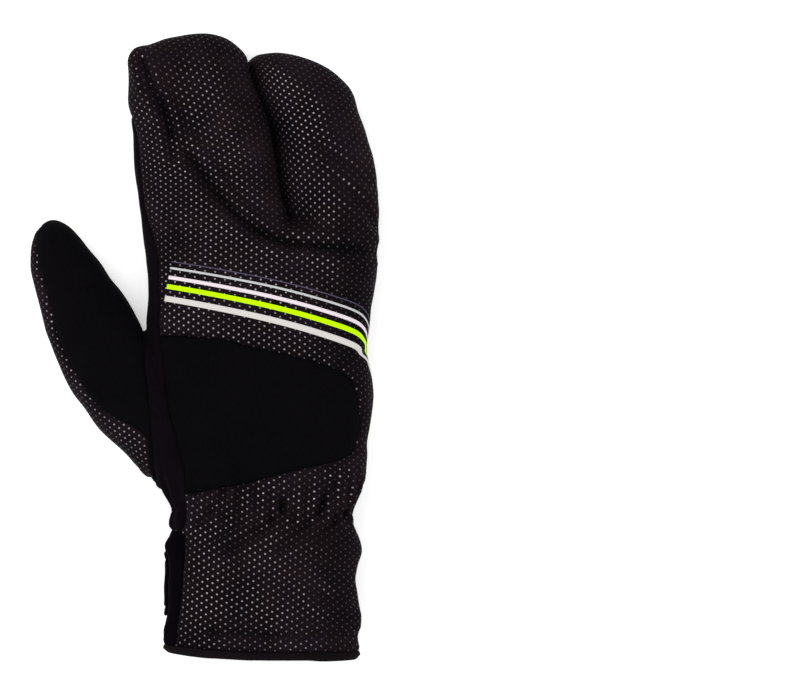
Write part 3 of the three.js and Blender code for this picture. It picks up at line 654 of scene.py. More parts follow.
# The panels in the order in which they are taken from the skin: name and blocks of its region
PANELS = [
    ("hem", None),
    ("cuff_gusset", [(GUSSET_UNDER, -FAR, SPLIT_HEIGHT), (GUSSET_OVER, SPLIT_HEIGHT - 1, FAR)]),
    ("thumb_edge", [(THUMB_EDGE_UNDER, -FAR, SPLIT_HEIGHT), (THUMB_EDGE_OVER, SPLIT_HEIGHT - 1, FAR)]),
    ("thumb_back", [(THUMB_OVER, SPLIT_HEIGHT, FAR)]),
    ("thumb_palm", [(THUMB_UNDER, -FAR, SPLIT_HEIGHT)]),
    ("palm", [
        (SUEDE_LOBES, -FAR, LOBE_SEAM_HEIGHT), (SUEDE_PALM, -FAR, SPLIT_HEIGHT - 1), (SUEDE_EDGE, -FAR, FAR),
    ]),
    ("knuckles", [(KNUCKLE_PATCH, SPLIT_HEIGHT, FAR)]),
    ("cuff_palm", [(CUFF_PALM, -FAR, SPLIT_HEIGHT)]),
]
BACK = len(PANELS)
WASTE = 99


def join_islands(cloth, least=0.08):
    """Gives each small patch that the cuts left apart from its panel to the panel round it."""
    faces, owner, count = cloth.faces, cloth.owner, len(cloth.faces)
    edges = np.sort(edges_of(faces), 1)
    keys = edges[:, 0] * len(cloth.points) + edges[:, 1]
    order = np.argsort(keys)
    face_of = np.tile(np.arange(count), 3)[order]
    same = keys[order][1:] == keys[order][:-1]
    a, b = face_of[:-1][same], face_of[1:][same]
    within = owner[a] == owner[b]
    patch = np.arange(count)
    while True:
        low = np.minimum(patch[a[within]], patch[b[within]])
        joined = patch.copy()
        np.minimum.at(joined, patch[a[within]], low)
        np.minimum.at(joined, patch[b[within]], low)
        joined = joined[joined][joined[joined]]
        if (joined == patch).all():
            break
        patch = joined
    size = np.bincount(patch, minlength=count)[patch]
    largest = np.zeros(int(owner.max()) + 1)
    np.maximum.at(largest, owner, size)
    small = size < least * largest[owner]
    for number in np.unique(patch[small]):
        inside, outside = patch[a] == number, patch[b] == number
        round_it = np.concatenate([owner[b[inside & ~outside]], owner[a[outside & ~inside]]])
        if len(round_it):
            owner[patch == number] = np.bincount(round_it).argmax()


@functools.cache
def sewn_skin():
    """The skin, cut along all its seams."""
    cloth = Cloth(*skin())
    cloth.take(above_mouth, WASTE)
    for number, (name, blocks) in enumerate(PANELS):
        if blocks is None:
            cloth.take(lambda p: above_mouth(p) - HEM_DEPTH, number)
        else:
            cloth.take(region(*blocks), number)
    cloth.owner[cloth.owner < 0] = BACK
    join_islands(cloth)
    return cloth


def unrolled(points, from_under=False):
    """The place of each point on the cloth laid flat, in plan millimetres, from the crest outward."""
    x, y, z = points.T
    found = np.array([
        [np.broadcast_to(part, x.shape) for part in branch_depth(x, y, z, branch)] for branch in range(3)
    ])
    chosen = np.argmax([section(z, *parts) for parts in found], axis=0)
    each = np.arange(len(x))
    depth, under, over, rim = found[chosen, :, each].T
    slopes = np.array([
        (plan.at(x + 2, y) - plan.at(x - 2, y), plan.at(x, y + 2) - plan.at(x, y - 2)) for plan in outlines()
    ])
    slope_x, slope_y = slopes[chosen, :, each].T
    size = np.maximum(np.hypot(slope_x, slope_y), 1e-6)
    tall = (over - under) / 2
    inset = np.clip((rim - depth) / rim, 0, None)
    rise = (z - (over + under) / 2) / tall * (-1 if from_under else 1)
    turn = np.arctan2(inset**1.2, np.sign(rise) * np.abs(rise) ** 1.2)
    ratios = np.linspace(0.3, 1.4, 23)
    turns = np.linspace(0, np.pi, 91)
    arc = between(arc_table(ratios, turns), (tall / rim - ratios[0]) / (ratios[1] - ratios[0]), turn / turns[1])
    reach = np.where(inset > 0, arc * rim - inset * rim, 0.0)
    return np.stack([x - slope_x / size * reach, y - slope_y / size * reach], 1)


def arc_table(ratios, turns):
    """The length round a rim from its crest, for a rim of reach 1, by height ratio and angle."""
    fine = np.linspace(0, np.pi, 721)
    side = np.abs(np.sin(fine)) ** (1 / 1.2)
    lift = np.sign(np.cos(fine)) * np.abs(np.cos(fine)) ** (1 / 1.2)
    rows = []
    for ratio in ratios:
        steps = np.hypot(np.diff(side), ratio * np.diff(lift))
        rows.append(np.interp(turns, fine, np.concatenate([[0], np.cumsum(steps)])))
    return np.array(rows)


def distance_to_line(points, shares):
    """The distance in plan from points to a smooth line through shares."""
    line = spline([place(s) for s in shares], 3.0)
    x, y = points[:, 0], points[:, 1]
    return np.sqrt(np.min([stretch_gap(x, y, *ends) for ends in zip(line[:-1], line[1:])], axis=0))


def waviness(points, count, longest, shortest, seed):
    """A soft unevenness between -1 and 1 from seeded waves in space."""
    rng = np.random.default_rng(seed)
    total = np.zeros(len(points))
    for _ in range(count):
        direction = rng.normal(size=3) * (1, 1, 0.6)
        direction /= np.linalg.norm(direction)
        length = shortest * (longest / shortest) ** rng.random()
        total += np.sin(points @ direction * 2 * math.pi / length + rng.random() * 2 * math.pi)
    return total / math.sqrt(count) / 1.6


def relief(points, out, seam_distance, flat):
    """How far the cloth's face stands out from the form: seams, folds, gathers and unevenness."""
    facing_up = smooth_step(-0.1, 0.35, out[:, 2])
    facing_down = smooth_step(-0.1, 0.35, -out[:, 2])
    lift = -sum(depth * np.exp(-((seam_distance / width) ** 2)) for depth, width in SEAM_GROOVES)
    for lines, facing in ((BACK_FOLDS, facing_up), (CUFF_FOLDS, facing_up), (PALM_FOLDS, facing_down)):
        for shares, width, depth in lines:
            ratio = distance_to_line(points, shares) / width
            crease = np.exp(-((ratio / 0.5) ** 2)) - 0.5 * np.exp(-(((ratio - 1.3) / 0.6) ** 2))
            lift -= depth * crease * facing
    along = along_hand(points[:, 1])
    band = smooth_step(GATHER_LOW, -0.02, along) * (1 - smooth_step(0.03, GATHER_TOP, along))
    warp = 2.4 * waviness(points, 5, 60, 25, SEED)
    phase = (flat[:, 0] + warp + 0.12 * (points[:, 1] - WRIST_Y)) / GATHER_PITCH
    pleat = np.cos(2 * math.pi * phase)
    lift += GATHER_DEPTH * band * pleat * (0.75 + 0.35 * waviness(points, 4, 40, 18, SEED + 1))
    for number, (height, *waves) in enumerate(UNEVENNESS):
        lift += height * waviness(points, *waves, SEED + 2 + number)
    return lift


def dress(cloth, seams=True):
    """What pieces of a cut cloth share: outward directions, flat places and relief."""
    points = cloth.points
    out = outward_at(points)
    distance = np.full(len(points), FAR)
    if seams:
        edge = np.flatnonzero(seam_corners(cloth))
        tree = KDTree(len(edge))
        for i in edge:
            tree.insert(points[i], int(i))
        tree.balance()
        distance = np.array([tree.find(p)[2] for p in points])
    flat = unrolled(points)
    lift = relief(points, out, distance, flat)
    resting = (out[:, 2] < -0.6) & (points[:, 2] < 1.0)
    return cloth, out, flat, np.where(resting, np.minimum(lift, 0.0), lift)


@functools.cache
def dressed_skin():
    return dress(sewn_skin())




def seam_corners(cloth):
    """True for each corner that lies on the edge between two owners."""
    low = np.full(len(cloth.points), 1000)
    high = np.full(len(cloth.points), -1)
    for k in range(3):
        np.minimum.at(low, cloth.faces[:, k], cloth.owner)
        np.maximum.at(high, cloth.faces[:, k], cloth.owner)
    return (low != high) & (high >= 0)


def edge_loops(faces):
    """The directed edges that only one face has."""
    edges = edges_of(faces)
    size = faces.max() + 1
    forward = edges[:, 0] * size + edges[:, 1]
    backward = edges[:, 1] * size + edges[:, 0]
    return edges[~np.isin(forward, backward)]


def make_piece(name, points, faces, kinds, flat, stripe, painted_crease_shade, materials):
    """A mesh object from points in millimetres, with the cloth's flat places as its UV maps."""
    mesh = bpy.data.meshes.new(name)
    mesh.vertices.add(len(points))
    mesh.vertices.foreach_set("co", (points * MM).astype(np.float32).ravel())
    sizes = np.array([len(f) for f in faces])
    corners = np.concatenate([np.asarray(f, np.int32) for f in faces])
    mesh.loops.add(len(corners))
    mesh.polygons.add(len(sizes))
    mesh.loops.foreach_set("vertex_index", corners)
    starts = np.concatenate([[0], np.cumsum(sizes)[:-1]]).astype(np.int32)
    mesh.polygons.foreach_set("loop_start", starts)
    mesh.polygons.foreach_set("material_index", np.asarray(kinds, np.int32))
    mesh.update(calc_edges=True)
    mesh.validate()
    for map_name, values in (("cloth", flat), ("stripes", stripe)):
        layer = mesh.uv_layers.new(name=map_name)
        layer.data.foreach_set("uv", (values[corners] * MM).astype(np.float32).ravel())
    # Painted shade of the deep folds, kept on the points for the material
    mesh.attributes.new("painted_crease_shade", "FLOAT", "POINT").data.foreach_set("value", painted_crease_shade.astype(np.float32))
    for material in materials:
        mesh.materials.append(material)
    mesh.shade_smooth()
    mesh.set_sharp_from_angle(angle=math.radians(48))
    piece = bpy.data.objects.new(name, mesh)
    bpy.context.scene.collection.objects.link(piece)
    return piece


def printed_places(flat):
    """The flat places turned to the printed dots' own lattice, which leans with the lobes."""
    heights = np.linspace(-140.0, 200.0, 171)
    shares = along_hand(heights)
    drift = np.cumsum(profile(PRINT_TURN, 1, shares)) * (heights[1] - heights[0])
    slope = profile(PRINT_TURN, 2, shares)
    across = flat[:, 0] - np.interp(flat[:, 1], heights, drift)
    return np.stack([across, flat[:, 1] - np.interp(flat[:, 1], heights, slope) * flat[:, 0]], 1)


def stripe_places(points):
    """Each point's distance up from the bright stripe and its distance past the stripes' cut end."""
    x, y, z = points.T
    side, height, reach = OUTER_TURN
    turn = np.arctan2(np.clip(x - side, 0, None), z - height)
    across = np.minimum(x, side)
    across = np.where(z > height, across, 2 * side - across) + reach * turn
    line = spline(STRIPE_LINE, 2.0)
    rise = y - np.interp(across, line[:, 0], line[:, 1])
    widen = np.interp(across, *STRIPE_WIDENING)
    cut = across - STRIPE_CUT[0] - (y - STRIPE_CUT[1]) * STRIPE_CUT_SLANT
    return np.stack([rise / widen, cut], 1)


def cloth_piece(name, dressed, owner, outer, inner, materials, striped=False, from_under=False, swell=0.07,
                kind_of=None):
    """A closed piece of cloth from an owner's faces, between an outer and an inner distance."""
    cloth, out, flat, lift = dressed
    faces = cloth.faces[cloth.owner == owner]
    used, numbered = np.unique(faces, return_inverse=True)
    faces = numbered.reshape(faces.shape)
    base, normal = cloth.points[used], out[used]
    edges = edge_loops(faces)
    inward = np.zeros_like(base)
    along = base[edges[:, 1]] - base[edges[:, 0]]
    across = np.cross(normal[edges[:, 0]], along)
    for k in (0, 1):
        np.add.at(inward, edges[:, k], across)
    size = np.linalg.norm(inward, axis=1)
    rim = size > 0
    inward[rim] /= size[rim][:, None]
    shrunk = base + inward * SEAM_GAP / 2
    top = shrunk + normal * outer(base, normal, lift[used])[:, None]
    low = base + inward * LINING_INSET + normal * inner(base, normal, lift[used])[:, None]
    top[:, 2] = np.maximum(top[:, 2], 0.0)
    count = len(base)
    mouth = above_mouth(base) < MOUTH_BAND
    middle = (top + low) / 2 - inward * np.where(mouth, MOUTH_SWELL, swell)[:, None]
    ring = np.flatnonzero(rim)
    ring_number = np.full(count, -1)
    ring_number[ring] = 2 * count + np.arange(len(ring))
    points = np.vstack([top, low, middle[ring]])
    a, b = edges[:, 0], edges[:, 1]
    walls = [
        np.stack([b, a, ring_number[a], ring_number[b]], 1),
        np.stack([ring_number[b], ring_number[a], a + count, b + count], 1),
    ]
    all_faces = list(faces) + list(faces[:, ::-1] + count) + list(np.vstack(walls))
    face_kinds = [0] * len(faces) if kind_of is None else list(kind_of(base[faces].mean(1)))
    kinds = face_kinds + [len(materials) - 1] * len(faces) + [0] * (2 * len(edges))
    laid = unrolled(base, from_under=True) if from_under else flat[used]
    stripes = np.full((count, 2), NO_STRIPE)
    if striped:
        stripes = stripe_places(base)
        laid = printed_places(laid)
    # Painted shade: how much the cloth darkens in a fold, from the fold's depth
    painted_crease_shade = smooth_step(*PAINTED_SHADE_DEPTHS, -lift[used])
    laid, stripes, painted_crease_shade = (np.concatenate([v, v, v[ring]]) for v in (laid, stripes, painted_crease_shade))
    return make_piece(name, points, all_faces, kinds, laid, stripes, painted_crease_shade, materials)


def inside_box(points, low, high, corner):
    """The distance outside a plan rectangle with round corners, negative inside it."""
    middle = (np.array(low) + high) / 2
    half = (np.array(high) - low) / 2 - corner
    away = np.abs(points[:, :2] - middle) - half
    outside = np.linalg.norm(np.clip(away, 0, None), axis=1)
    return outside + np.minimum(away.max(1), 0) - corner


def patch_region(points):
    edge = -CUFF_WIDTH / 2
    low = (edge + PATCH_CORNER, CLOSURE_Y - PATCH_WIDTH / 2)
    high = (edge + PATCH_REACH, CLOSURE_Y + PATCH_WIDTH / 2)
    return np.maximum(inside_box(points, low, high, PATCH_CORNER), points[:, 2] - SPLIT_HEIGHT * 0.6)


def tab_edge_distance(points, inset=0.0):
    """The distance outside the tab's plan shape, which has straight sides and a round end."""
    half = TAB_WIDTH / 2 - inset
    end = -CUFF_WIDTH / 2 + TAB_REACH - TAB_ROUND
    along = np.clip(points[:, 0] - end, 0, None) / (TAB_ROUND - inset)
    across = np.abs(points[:, 1] - CLOSURE_Y) / half
    return (np.hypot(along, across) - 1) * half


def tab_region(points):
    x, y, z = points.T
    under = np.maximum(tab_edge_distance(points), z - SPLIT_HEIGHT)
    over = np.maximum(np.abs(y - CLOSURE_Y) - TAB_WIDTH / 2, x + CUFF_WIDTH / 2 - TAB_OVERLAP)
    return np.minimum(under, np.maximum(over, SPLIT_HEIGHT - 1 - z))


@functools.cache
def closure_skin(part):
    """The cuff's skin cut to the shape of the patch or the tab."""
    points, faces = skin()
    near = points[faces].mean(1)
    chosen = (near[:, 1] < WRIST_Y) & (near[:, 1] > HEM_Y + HEM_DEPTH) & (near[:, 0] < 0)
    used, numbered = np.unique(faces[chosen], return_inverse=True)
    cloth = Cloth(points[used], numbered.reshape(-1, 3))
    cloth.take({"patch": patch_region, "tab": tab_region}[part], 0)
    return dress(cloth, seams=False)


def tab_inner(base, normal, lift):
    """The tab lies on the cuff at its side and on the loop patch under it."""
    under = smooth_step(0.05, 0.75, -normal[:, 2])
    return lift + PATCH_LIFT + under * (PATCH_THICKNESS + PATCH_LIFT)


def tab_outer(base, normal, lift):
    panel_edge = tab_edge_distance(base, TAB_RIM)
    raised = 0.45 * smooth_step(0.3, -0.7, panel_edge) - 0.35 * np.exp(-((panel_edge / 0.6) ** 2))
    under = smooth_step(-0.7, 0.3, -normal[:, 2])
    return tab_inner(base, normal, lift) + (TAB_THICKNESS + raised - 0.4) * (0.3 + 0.7 * under)


def tab_kinds(middles):
    return (tab_edge_distance(middles, TAB_RIM) < 0).astype(int)


# Materials

def add(tree, kind, inputs=None, **settings):
    """A node with its settings; an input is a value or another node's output."""
    node = tree.nodes.new(kind)
    for key, value in settings.items():
        setattr(node, key, value)
    for key, value in (inputs or {}).items():
        if isinstance(value, bpy.types.NodeSocket):
            tree.links.new(value, node.inputs[key])
        else:
            node.inputs[key].default_value = value
    return node


def math_node(tree, operation, a, b=0.0, clamp=False):
    return add(tree, "ShaderNodeMath", {0: a, 1: b}, operation=operation, use_clamp=clamp).outputs[0]


def times(tree, a, b):
    return math_node(tree, "MULTIPLY", a, b)


def plus(tree, a, b, clamp=False):
    return math_node(tree, "ADD", a, b, clamp)


def vector_node(tree, operation, *inputs):
    return add(tree, "ShaderNodeVectorMath", dict(enumerate(inputs)), operation=operation).outputs


def new_material(name, roughness, specular, sheen=0.0, sheen_roughness=0.4, sheen_tint=(1, 1, 1)):
    """A material with its constant shader values set on the shader itself."""
    material = bpy.data.materials.new(name)
    material.use_nodes = True
    tree = material.node_tree
    shader = tree.nodes["Principled BSDF"]
    shader.inputs["Roughness"].default_value = roughness
    shader.inputs["Specular IOR Level"].default_value = specular
    shader.inputs["Sheen Weight"].default_value = sheen
    shader.inputs["Sheen Roughness"].default_value = sheen_roughness
    shader.inputs["Sheen Tint"].default_value = (*sheen_tint, 1)
    return material, tree, shader


def noise(tree, vector, scale, detail=4.0, rough=0.55):
    node = add(tree, "ShaderNodeTexNoise", {"Vector": vector, "Scale": scale, "Detail": detail,
                                            "Roughness": rough})
    return node.outputs["Fac"]


def mixed(tree, factor, a, b):
    """A mix of two colours, each a value or another node's output."""
    node = add(tree, "ShaderNodeMix", data_type="RGBA")
    for socket, value in zip([s for s in node.inputs if s.enabled], (factor, a, b)):
        if isinstance(value, bpy.types.NodeSocket):
            tree.links.new(value, socket)
        else:
            socket.default_value = (*value, 1) if isinstance(value, tuple) else value
    return next(s for s in node.outputs if s.enabled)


def scaled(colour, share):
    return tuple(share * c for c in colour)


def laid_place(tree, uv_map="cloth"):
    """The place on the cloth laid flat."""
    return add(tree, "ShaderNodeUVMap", uv_map=uv_map).outputs[0]


def space_place(tree):
    return add(tree, "ShaderNodeTexCoord").outputs["Object"]


def surface(tree, shader, base, height=None, strength=0.0, depth=0.0):
    """Gives a shader its colour and the fine relief of its finish."""
    tree.links.new(base, shader.inputs["Base Color"])
    if height is not None:
        bump = add(tree, "ShaderNodeBump", {"Strength": strength, "Distance": depth, "Height": height})
        tree.links.new(bump.outputs[0], shader.inputs["Normal"])


def ranged(tree, value, low, high, to_low=0.0, to_high=1.0):
    return add(tree, "ShaderNodeMapRange", {
        "Value": value, "From Min": low, "From Max": high, "To Min": to_low, "To Max": to_high,
    }).outputs[0]


def dot_mask(tree, flat, look):
    """1 on the printed dots: two lattices, each half a step from the other."""
    pitch = (look.dot_across * MM, look.dot_along * MM, 1.0)
    steps = vector_node(tree, "DIVIDE", flat, pitch)[0]
    found = []
    for shift in ((0.0, 0.0, 0.0), (0.5, 0.5, 0.0)):
        part = vector_node(tree, "FRACTION", vector_node(tree, "ADD", steps, shift)[0])[0]
        centred = vector_node(tree, "SUBTRACT", part, (0.5, 0.5, 0.0))[0]
        real = vector_node(tree, "MULTIPLY", centred, (*pitch[:2], 0.0))[0]
        found.append(vector_node(tree, "LENGTH", real)["Value"])
    radius = look.dot_size * MM / 2
    return ranged(tree, math_node(tree, "MINIMUM", *found), radius * 1.12, radius * 0.88)


def painted_glint_share(tree):
    """Painted glint of the dots: the share of their colour that they show, most where the cloth leans to the
    thumb, as if lit from that side.
    """
    normal = add(tree, "ShaderNodeTexCoord").outputs["Normal"]
    x, y, z = add(tree, "ShaderNodeSeparateXYZ", {"Vector": normal}).outputs
    turned = plus(tree, times(tree, math_node(tree, "ABSOLUTE", z), 0.94), times(tree, x, -0.31))
    return ranged(tree, plus(tree, turned, times(tree, y, -0.18)), 0.82, 0.985, 0.08, 1.0)


def stripe_nodes(tree, stripes):
    """The stripes' colour, and 1 where a stripe is printed."""
    parts = add(tree, "ShaderNodeSeparateXYZ", {"Vector": stripes}).outputs
    low, high = -10.0, 15.0
    ramp = add(tree, "ShaderNodeValToRGB", {"Fac": ranged(tree, parts[0], low * MM, high * MM)})
    ramp.color_ramp.interpolation = "CONSTANT"
    elements = ramp.color_ramp.elements
    elements[0].position = 0.0
    elements[0].color = (0, 0, 0, 0)
    elements.remove(elements[1])
    for rise, width, colour in sorted(STRIPES):
        for edge, value in ((rise - width / 2, (*colour, 1)), (rise + width / 2, (0, 0, 0, 0))):
            elements.new((edge - low) / (high - low)).color = value
    shown = ranged(tree, parts[1], 0.0, 0.4 * MM)
    worn = ranged(tree, noise(tree, stripes, 900.0, 2.0), 0.24, 0.3)
    return ramp.outputs["Color"], times(tree, times(tree, ramp.outputs["Alpha"], shown), worn)


@functools.cache
def softshell():
    """Dotted softshell: a fine dull weave, printed dots and, where the cloth has them, stripes, with painted
    shade in deep folds and a painted glint on the dots.
    """
    look = bpy.context.scene.mitt_look
    material, tree, shader = new_material("dotted_softshell", 0.8, 0.025)
    flat, space = laid_place(tree), space_place(tree)
    cloud = ranged(tree, noise(tree, space, 34.0, 6.0, 0.6), 0.36, 0.66)
    hue = ranged(tree, noise(tree, space, 75.0, 4.0), 0.4, 0.62)
    grain = ranged(tree, noise(tree, space, 1500.0, 2.0), 0.3, 0.7)
    dark = tuple(look.softshell_colour)
    brown = (1.9 * dark[0], 1.55 * dark[1], 1.25 * dark[2])
    violet = (1.6 * dark[0], 1.5 * dark[1], 1.95 * dark[2])
    base = mixed(tree, cloud, scaled(dark, 0.4), mixed(tree, hue, brown, violet))
    base = mixed(tree, times(tree, grain, 0.3), base, scaled(dark, 2.2))
    painted_crease_shade = add(tree, "ShaderNodeAttribute", attribute_name="painted_crease_shade").outputs["Fac"]
    # Painted shade: deep folds darken the cloth's colour
    base = mixed(tree, times(tree, painted_crease_shade, 0.75), base, (0.0006, 0.0004, 0.0006))
    stripe_colour, stripe = stripe_nodes(tree, laid_place(tree, "stripes"))
    clear = math_node(tree, "SUBTRACT", 1.0, stripe)
    dots = times(tree, dot_mask(tree, flat, look), clear)
    # Painted glint: the dots' colour follows the cloth's facing, is dimmed by painted shade in deep folds and
    # varies at random in patches
    uneven_glint = ranged(tree, noise(tree, space, 50.0, 3.0), 0.34, 0.62, 0.35, 1.0)
    painted_dot_glint = times(tree, times(tree, uneven_glint, painted_glint_share(tree)), ranged(tree, painted_crease_shade, 0.0, 0.8, 1.0, 0.12))
    base = mixed(tree, dots, base, mixed(tree, painted_dot_glint, scaled(look.dot_colour, 0.06), tuple(look.dot_colour)))
    printed = plus(tree, dots, stripe, clamp=True)
    tree.links.new(ranged(tree, printed, 0.0, 1.0, 0.8, 0.42), shader.inputs["Roughness"])
    tree.links.new(times(tree, dots, 0.6), shader.inputs["Metallic"])
    weave = add(tree, "ShaderNodeTexWave", {"Vector": flat, "Scale": 620.0, "Distortion": 1.2,
                                            "Detail": 2.0, "Detail Scale": 2.0})
    threads = times(tree, weave.outputs["Fac"], clear)
    height = plus(tree, times(tree, threads, 0.35), times(tree, grain, 0.65))
    height = plus(tree, height, times(tree, printed, 0.8))
    surface(tree, shader, mixed(tree, stripe, base, stripe_colour), height, 0.55, 0.00012)
    return material


def napped(name, dark, pale, cloud_scale, nap_scale, depth, roughness, specular, sheen=0.0,
           tint=(1.0, 1.0, 1.0), stretch=(1.0, 1.0, 1.0)):
    """A brushed cloth: soft clouds of nap, fine fibres and a faint sheen."""
    material, tree, shader = new_material(name, roughness, specular, sheen, 0.45, tint)
    space = space_place(tree)
    cloud = ranged(tree, noise(tree, space, cloud_scale, 6.0, 0.6), 0.34, 0.68)
    stretched = vector_node(tree, "MULTIPLY", laid_place(tree), stretch)[0]
    fibre = ranged(tree, noise(tree, stretched, nap_scale, 4.0, 0.7), 0.3, 0.7)
    speck = ranged(tree, noise(tree, space, 2600.0, 2.0), 0.35, 0.75)
    base = mixed(tree, times(tree, fibre, 0.5), mixed(tree, cloud, dark, pale), scaled(pale, 1.7))
    surface(tree, shader, base, plus(tree, times(tree, fibre, 0.7), times(tree, speck, 0.4)), 0.7, depth)
    return material


@functools.cache
def suede():
    colour = tuple(bpy.context.scene.mitt_look.suede_colour)
    return napped("palm_suede", colour, scaled(colour, 1.9), 42.0, 700.0, 0.00016, 0.95, 0.03,
                  sheen=0.006, tint=(0.9, 0.86, 1.0))


@functools.cache
def brushed():
    colour = tuple(bpy.context.scene.mitt_look.wipe_colour)
    return napped("brushed_panel", colour, scaled(colour, 1.8), 30.0, 520.0, 0.0002, 0.97, 0.02,
                  sheen=0.004, tint=(0.85, 0.85, 1.0), stretch=(3.0, 0.7, 1.0))


@functools.cache
def lining():
    return napped("lining_fleece", (0.014, 0.013, 0.014), (0.03, 0.028, 0.03), 90.0, 420.0, 0.0004, 1.0, 0.05,
                  sheen=0.1)


@functools.cache
def turned_hem():
    return napped("turned_hem", (0.003, 0.0019, 0.0026), (0.0058, 0.004, 0.005), 40.0, 900.0, 0.00012,
                  0.85, 0.03)


@functools.cache
def tab_rim():
    return napped("tab_rim", (0.0014, 0.0009, 0.0016), (0.0028, 0.002, 0.0034), 60.0, 900.0, 0.0002, 0.9, 0.03,
                  tint=(0.9, 0.9, 1.0))


@functools.cache
def knit():
    """Plain stretch knit: fine ribs along the cloth."""
    material, tree, shader = new_material("stretch_knit", 1.0, 0.012)
    ribs = add(tree, "ShaderNodeTexWave", {"Vector": laid_place(tree), "Scale": 360.0, "Distortion": 0.8,
                                           "Detail": 2.0}).outputs["Fac"]
    cloud = ranged(tree, noise(tree, space_place(tree), 60.0, 4.0), 0.35, 0.7)
    base = mixed(tree, cloud, (0.0012, 0.0008, 0.0017), (0.0022, 0.0015, 0.0028))
    base = mixed(tree, times(tree, ribs, 0.4), base, (0.0028, 0.0022, 0.0036))
    surface(tree, shader, base, ribs, 0.5, 0.00016)
    return material


@functools.cache
def pile():
    """Loop pile: a dense fuzz of small loops."""
    material, tree, shader = new_material("loop_pile", 1.0, 0.06, 0.12, 0.6)
    loops = add(tree, "ShaderNodeTexVoronoi", {"Vector": space_place(tree), "Scale": 1100.0}, feature="F1")
    fuzz = ranged(tree, loops.outputs["Distance"], 0.1, 0.7, 1.0, 0.0)
    surface(tree, shader, mixed(tree, fuzz, (0.006, 0.006, 0.0065), (0.022, 0.021, 0.022)), fuzz, 0.9, 0.0005)
    return material


@functools.cache
def thread():
    """Sewing thread: dull black with its twist."""
    material, tree, shader = new_material("thread", 0.6, 0.3)
    twist = add(tree, "ShaderNodeTexWave", {"Vector": space_place(tree), "Scale": 900.0},
                bands_direction="DIAGONAL")
    surface(tree, shader, mixed(tree, twist.outputs["Fac"], (0.01, 0.01, 0.012), (0.03, 0.03, 0.033)))
    return material


def outer_face(base, normal, lift):
    """The outer face of a plain panel."""
    return lift


def inner_face(base, normal, lift):
    """The inner face of a plain panel, a wall's thickness inside the form."""
    return np.minimum(lift + LINING_SLACK, 0.0) - bpy.context.scene.mitt_look.wall


def padded(piece, nodes, slot, fill):
    """Attaches a padded piece to the root and hides the frame's parts that it stands for."""
    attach(piece, "root")
    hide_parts(*nodes)


def sew(name, key, finish, nodes, slot, fill=0.35, **options):
    """A panel of the skin by its key in the list of panels; "back" takes what the others left."""
    owner = BACK if key == "back" else [p[0] for p in PANELS].index(key)
    piece = cloth_piece(name, dressed_skin(), owner, outer_face, inner_face, [finish(), lining()], **options)
    padded(piece, nodes, slot, fill)


def stitched_line(name, shares, pitch, spread, under):
    """Zigzag stitches along a line in plan, laid on the underside of a made piece."""
    line = spline([place(s) for s in shares], 0.5)
    steps = np.hypot(*np.diff(line, axis=0).T)
    run = np.concatenate([[0], np.cumsum(steps)])
    count = int(run[-1] / (pitch / 2))
    at = np.linspace(0, run[-1], count + 1)
    spot = np.stack([np.interp(at, run, line[:, k]) for k in (0, 1)], 1)
    way = np.gradient(spot, axis=0)
    way /= np.linalg.norm(way, axis=1)[:, None]
    side = np.where(np.arange(count + 1) % 2 == 0, 1.0, -1.0)[:, None] * spread / 2
    spot += np.stack([-way[:, 1], way[:, 0]], 1) * side
    tree = BVHTree.FromObject(under, bpy.context.evaluated_depsgraph_get())
    corners, faces = [], []
    radius = THREAD_SIZE * MM / 2
    for (ax, ay), (bx, by) in zip(spot[:-1], spot[1:]):
        ends = []
        for x, y in ((ax, ay), (bx, by)):
            hit, normal, _, _ = tree.ray_cast(Vector((x * MM, y * MM, -0.05)), Vector((0, 0, 1)))
            if hit is not None:
                ends.append((hit, normal))
        if len(ends) < 2 or (ends[0][0] - ends[1][0]).length > 3 * spread * MM:
            continue
        along = (ends[1][0] - ends[0][0]).normalized()
        first = len(corners)
        for (hit, normal), sunk in ((ends[0], 1.0), (ends[0], -0.2), (ends[1], -0.2), (ends[1], 1.0)):
            shift = along * radius * (2.0 if sunk < 0 else 0.6) * (1 if hit is ends[0][0] else -1)
            middle = hit + shift - normal * radius * sunk
            across = normal.cross(along).normalized()
            for turn in range(THREAD_SIDES):
                angle = math.tau * turn / THREAD_SIDES
                corners.append(middle + (across * math.cos(angle) + normal * math.sin(angle)) * radius)
        for ring in range(3):
            start = first + THREAD_SIDES * ring
            for turn in range(THREAD_SIDES):
                a, b = start + turn, start + (turn + 1) % THREAD_SIDES
                faces.append((a, b, b + THREAD_SIDES, a + THREAD_SIDES))
        faces.append(tuple(reversed(range(first, first + THREAD_SIDES))))
        faces.append(tuple(range(first + 3 * THREAD_SIDES, first + 4 * THREAD_SIDES)))
    mesh = bpy.data.meshes.new(name)
    mesh.from_pydata(corners, [], faces)
    mesh.materials.append(thread())
    mesh.shade_smooth()
    piece = bpy.data.objects.new(name, mesh)
    bpy.context.scene.collection.objects.link(piece)
    return piece


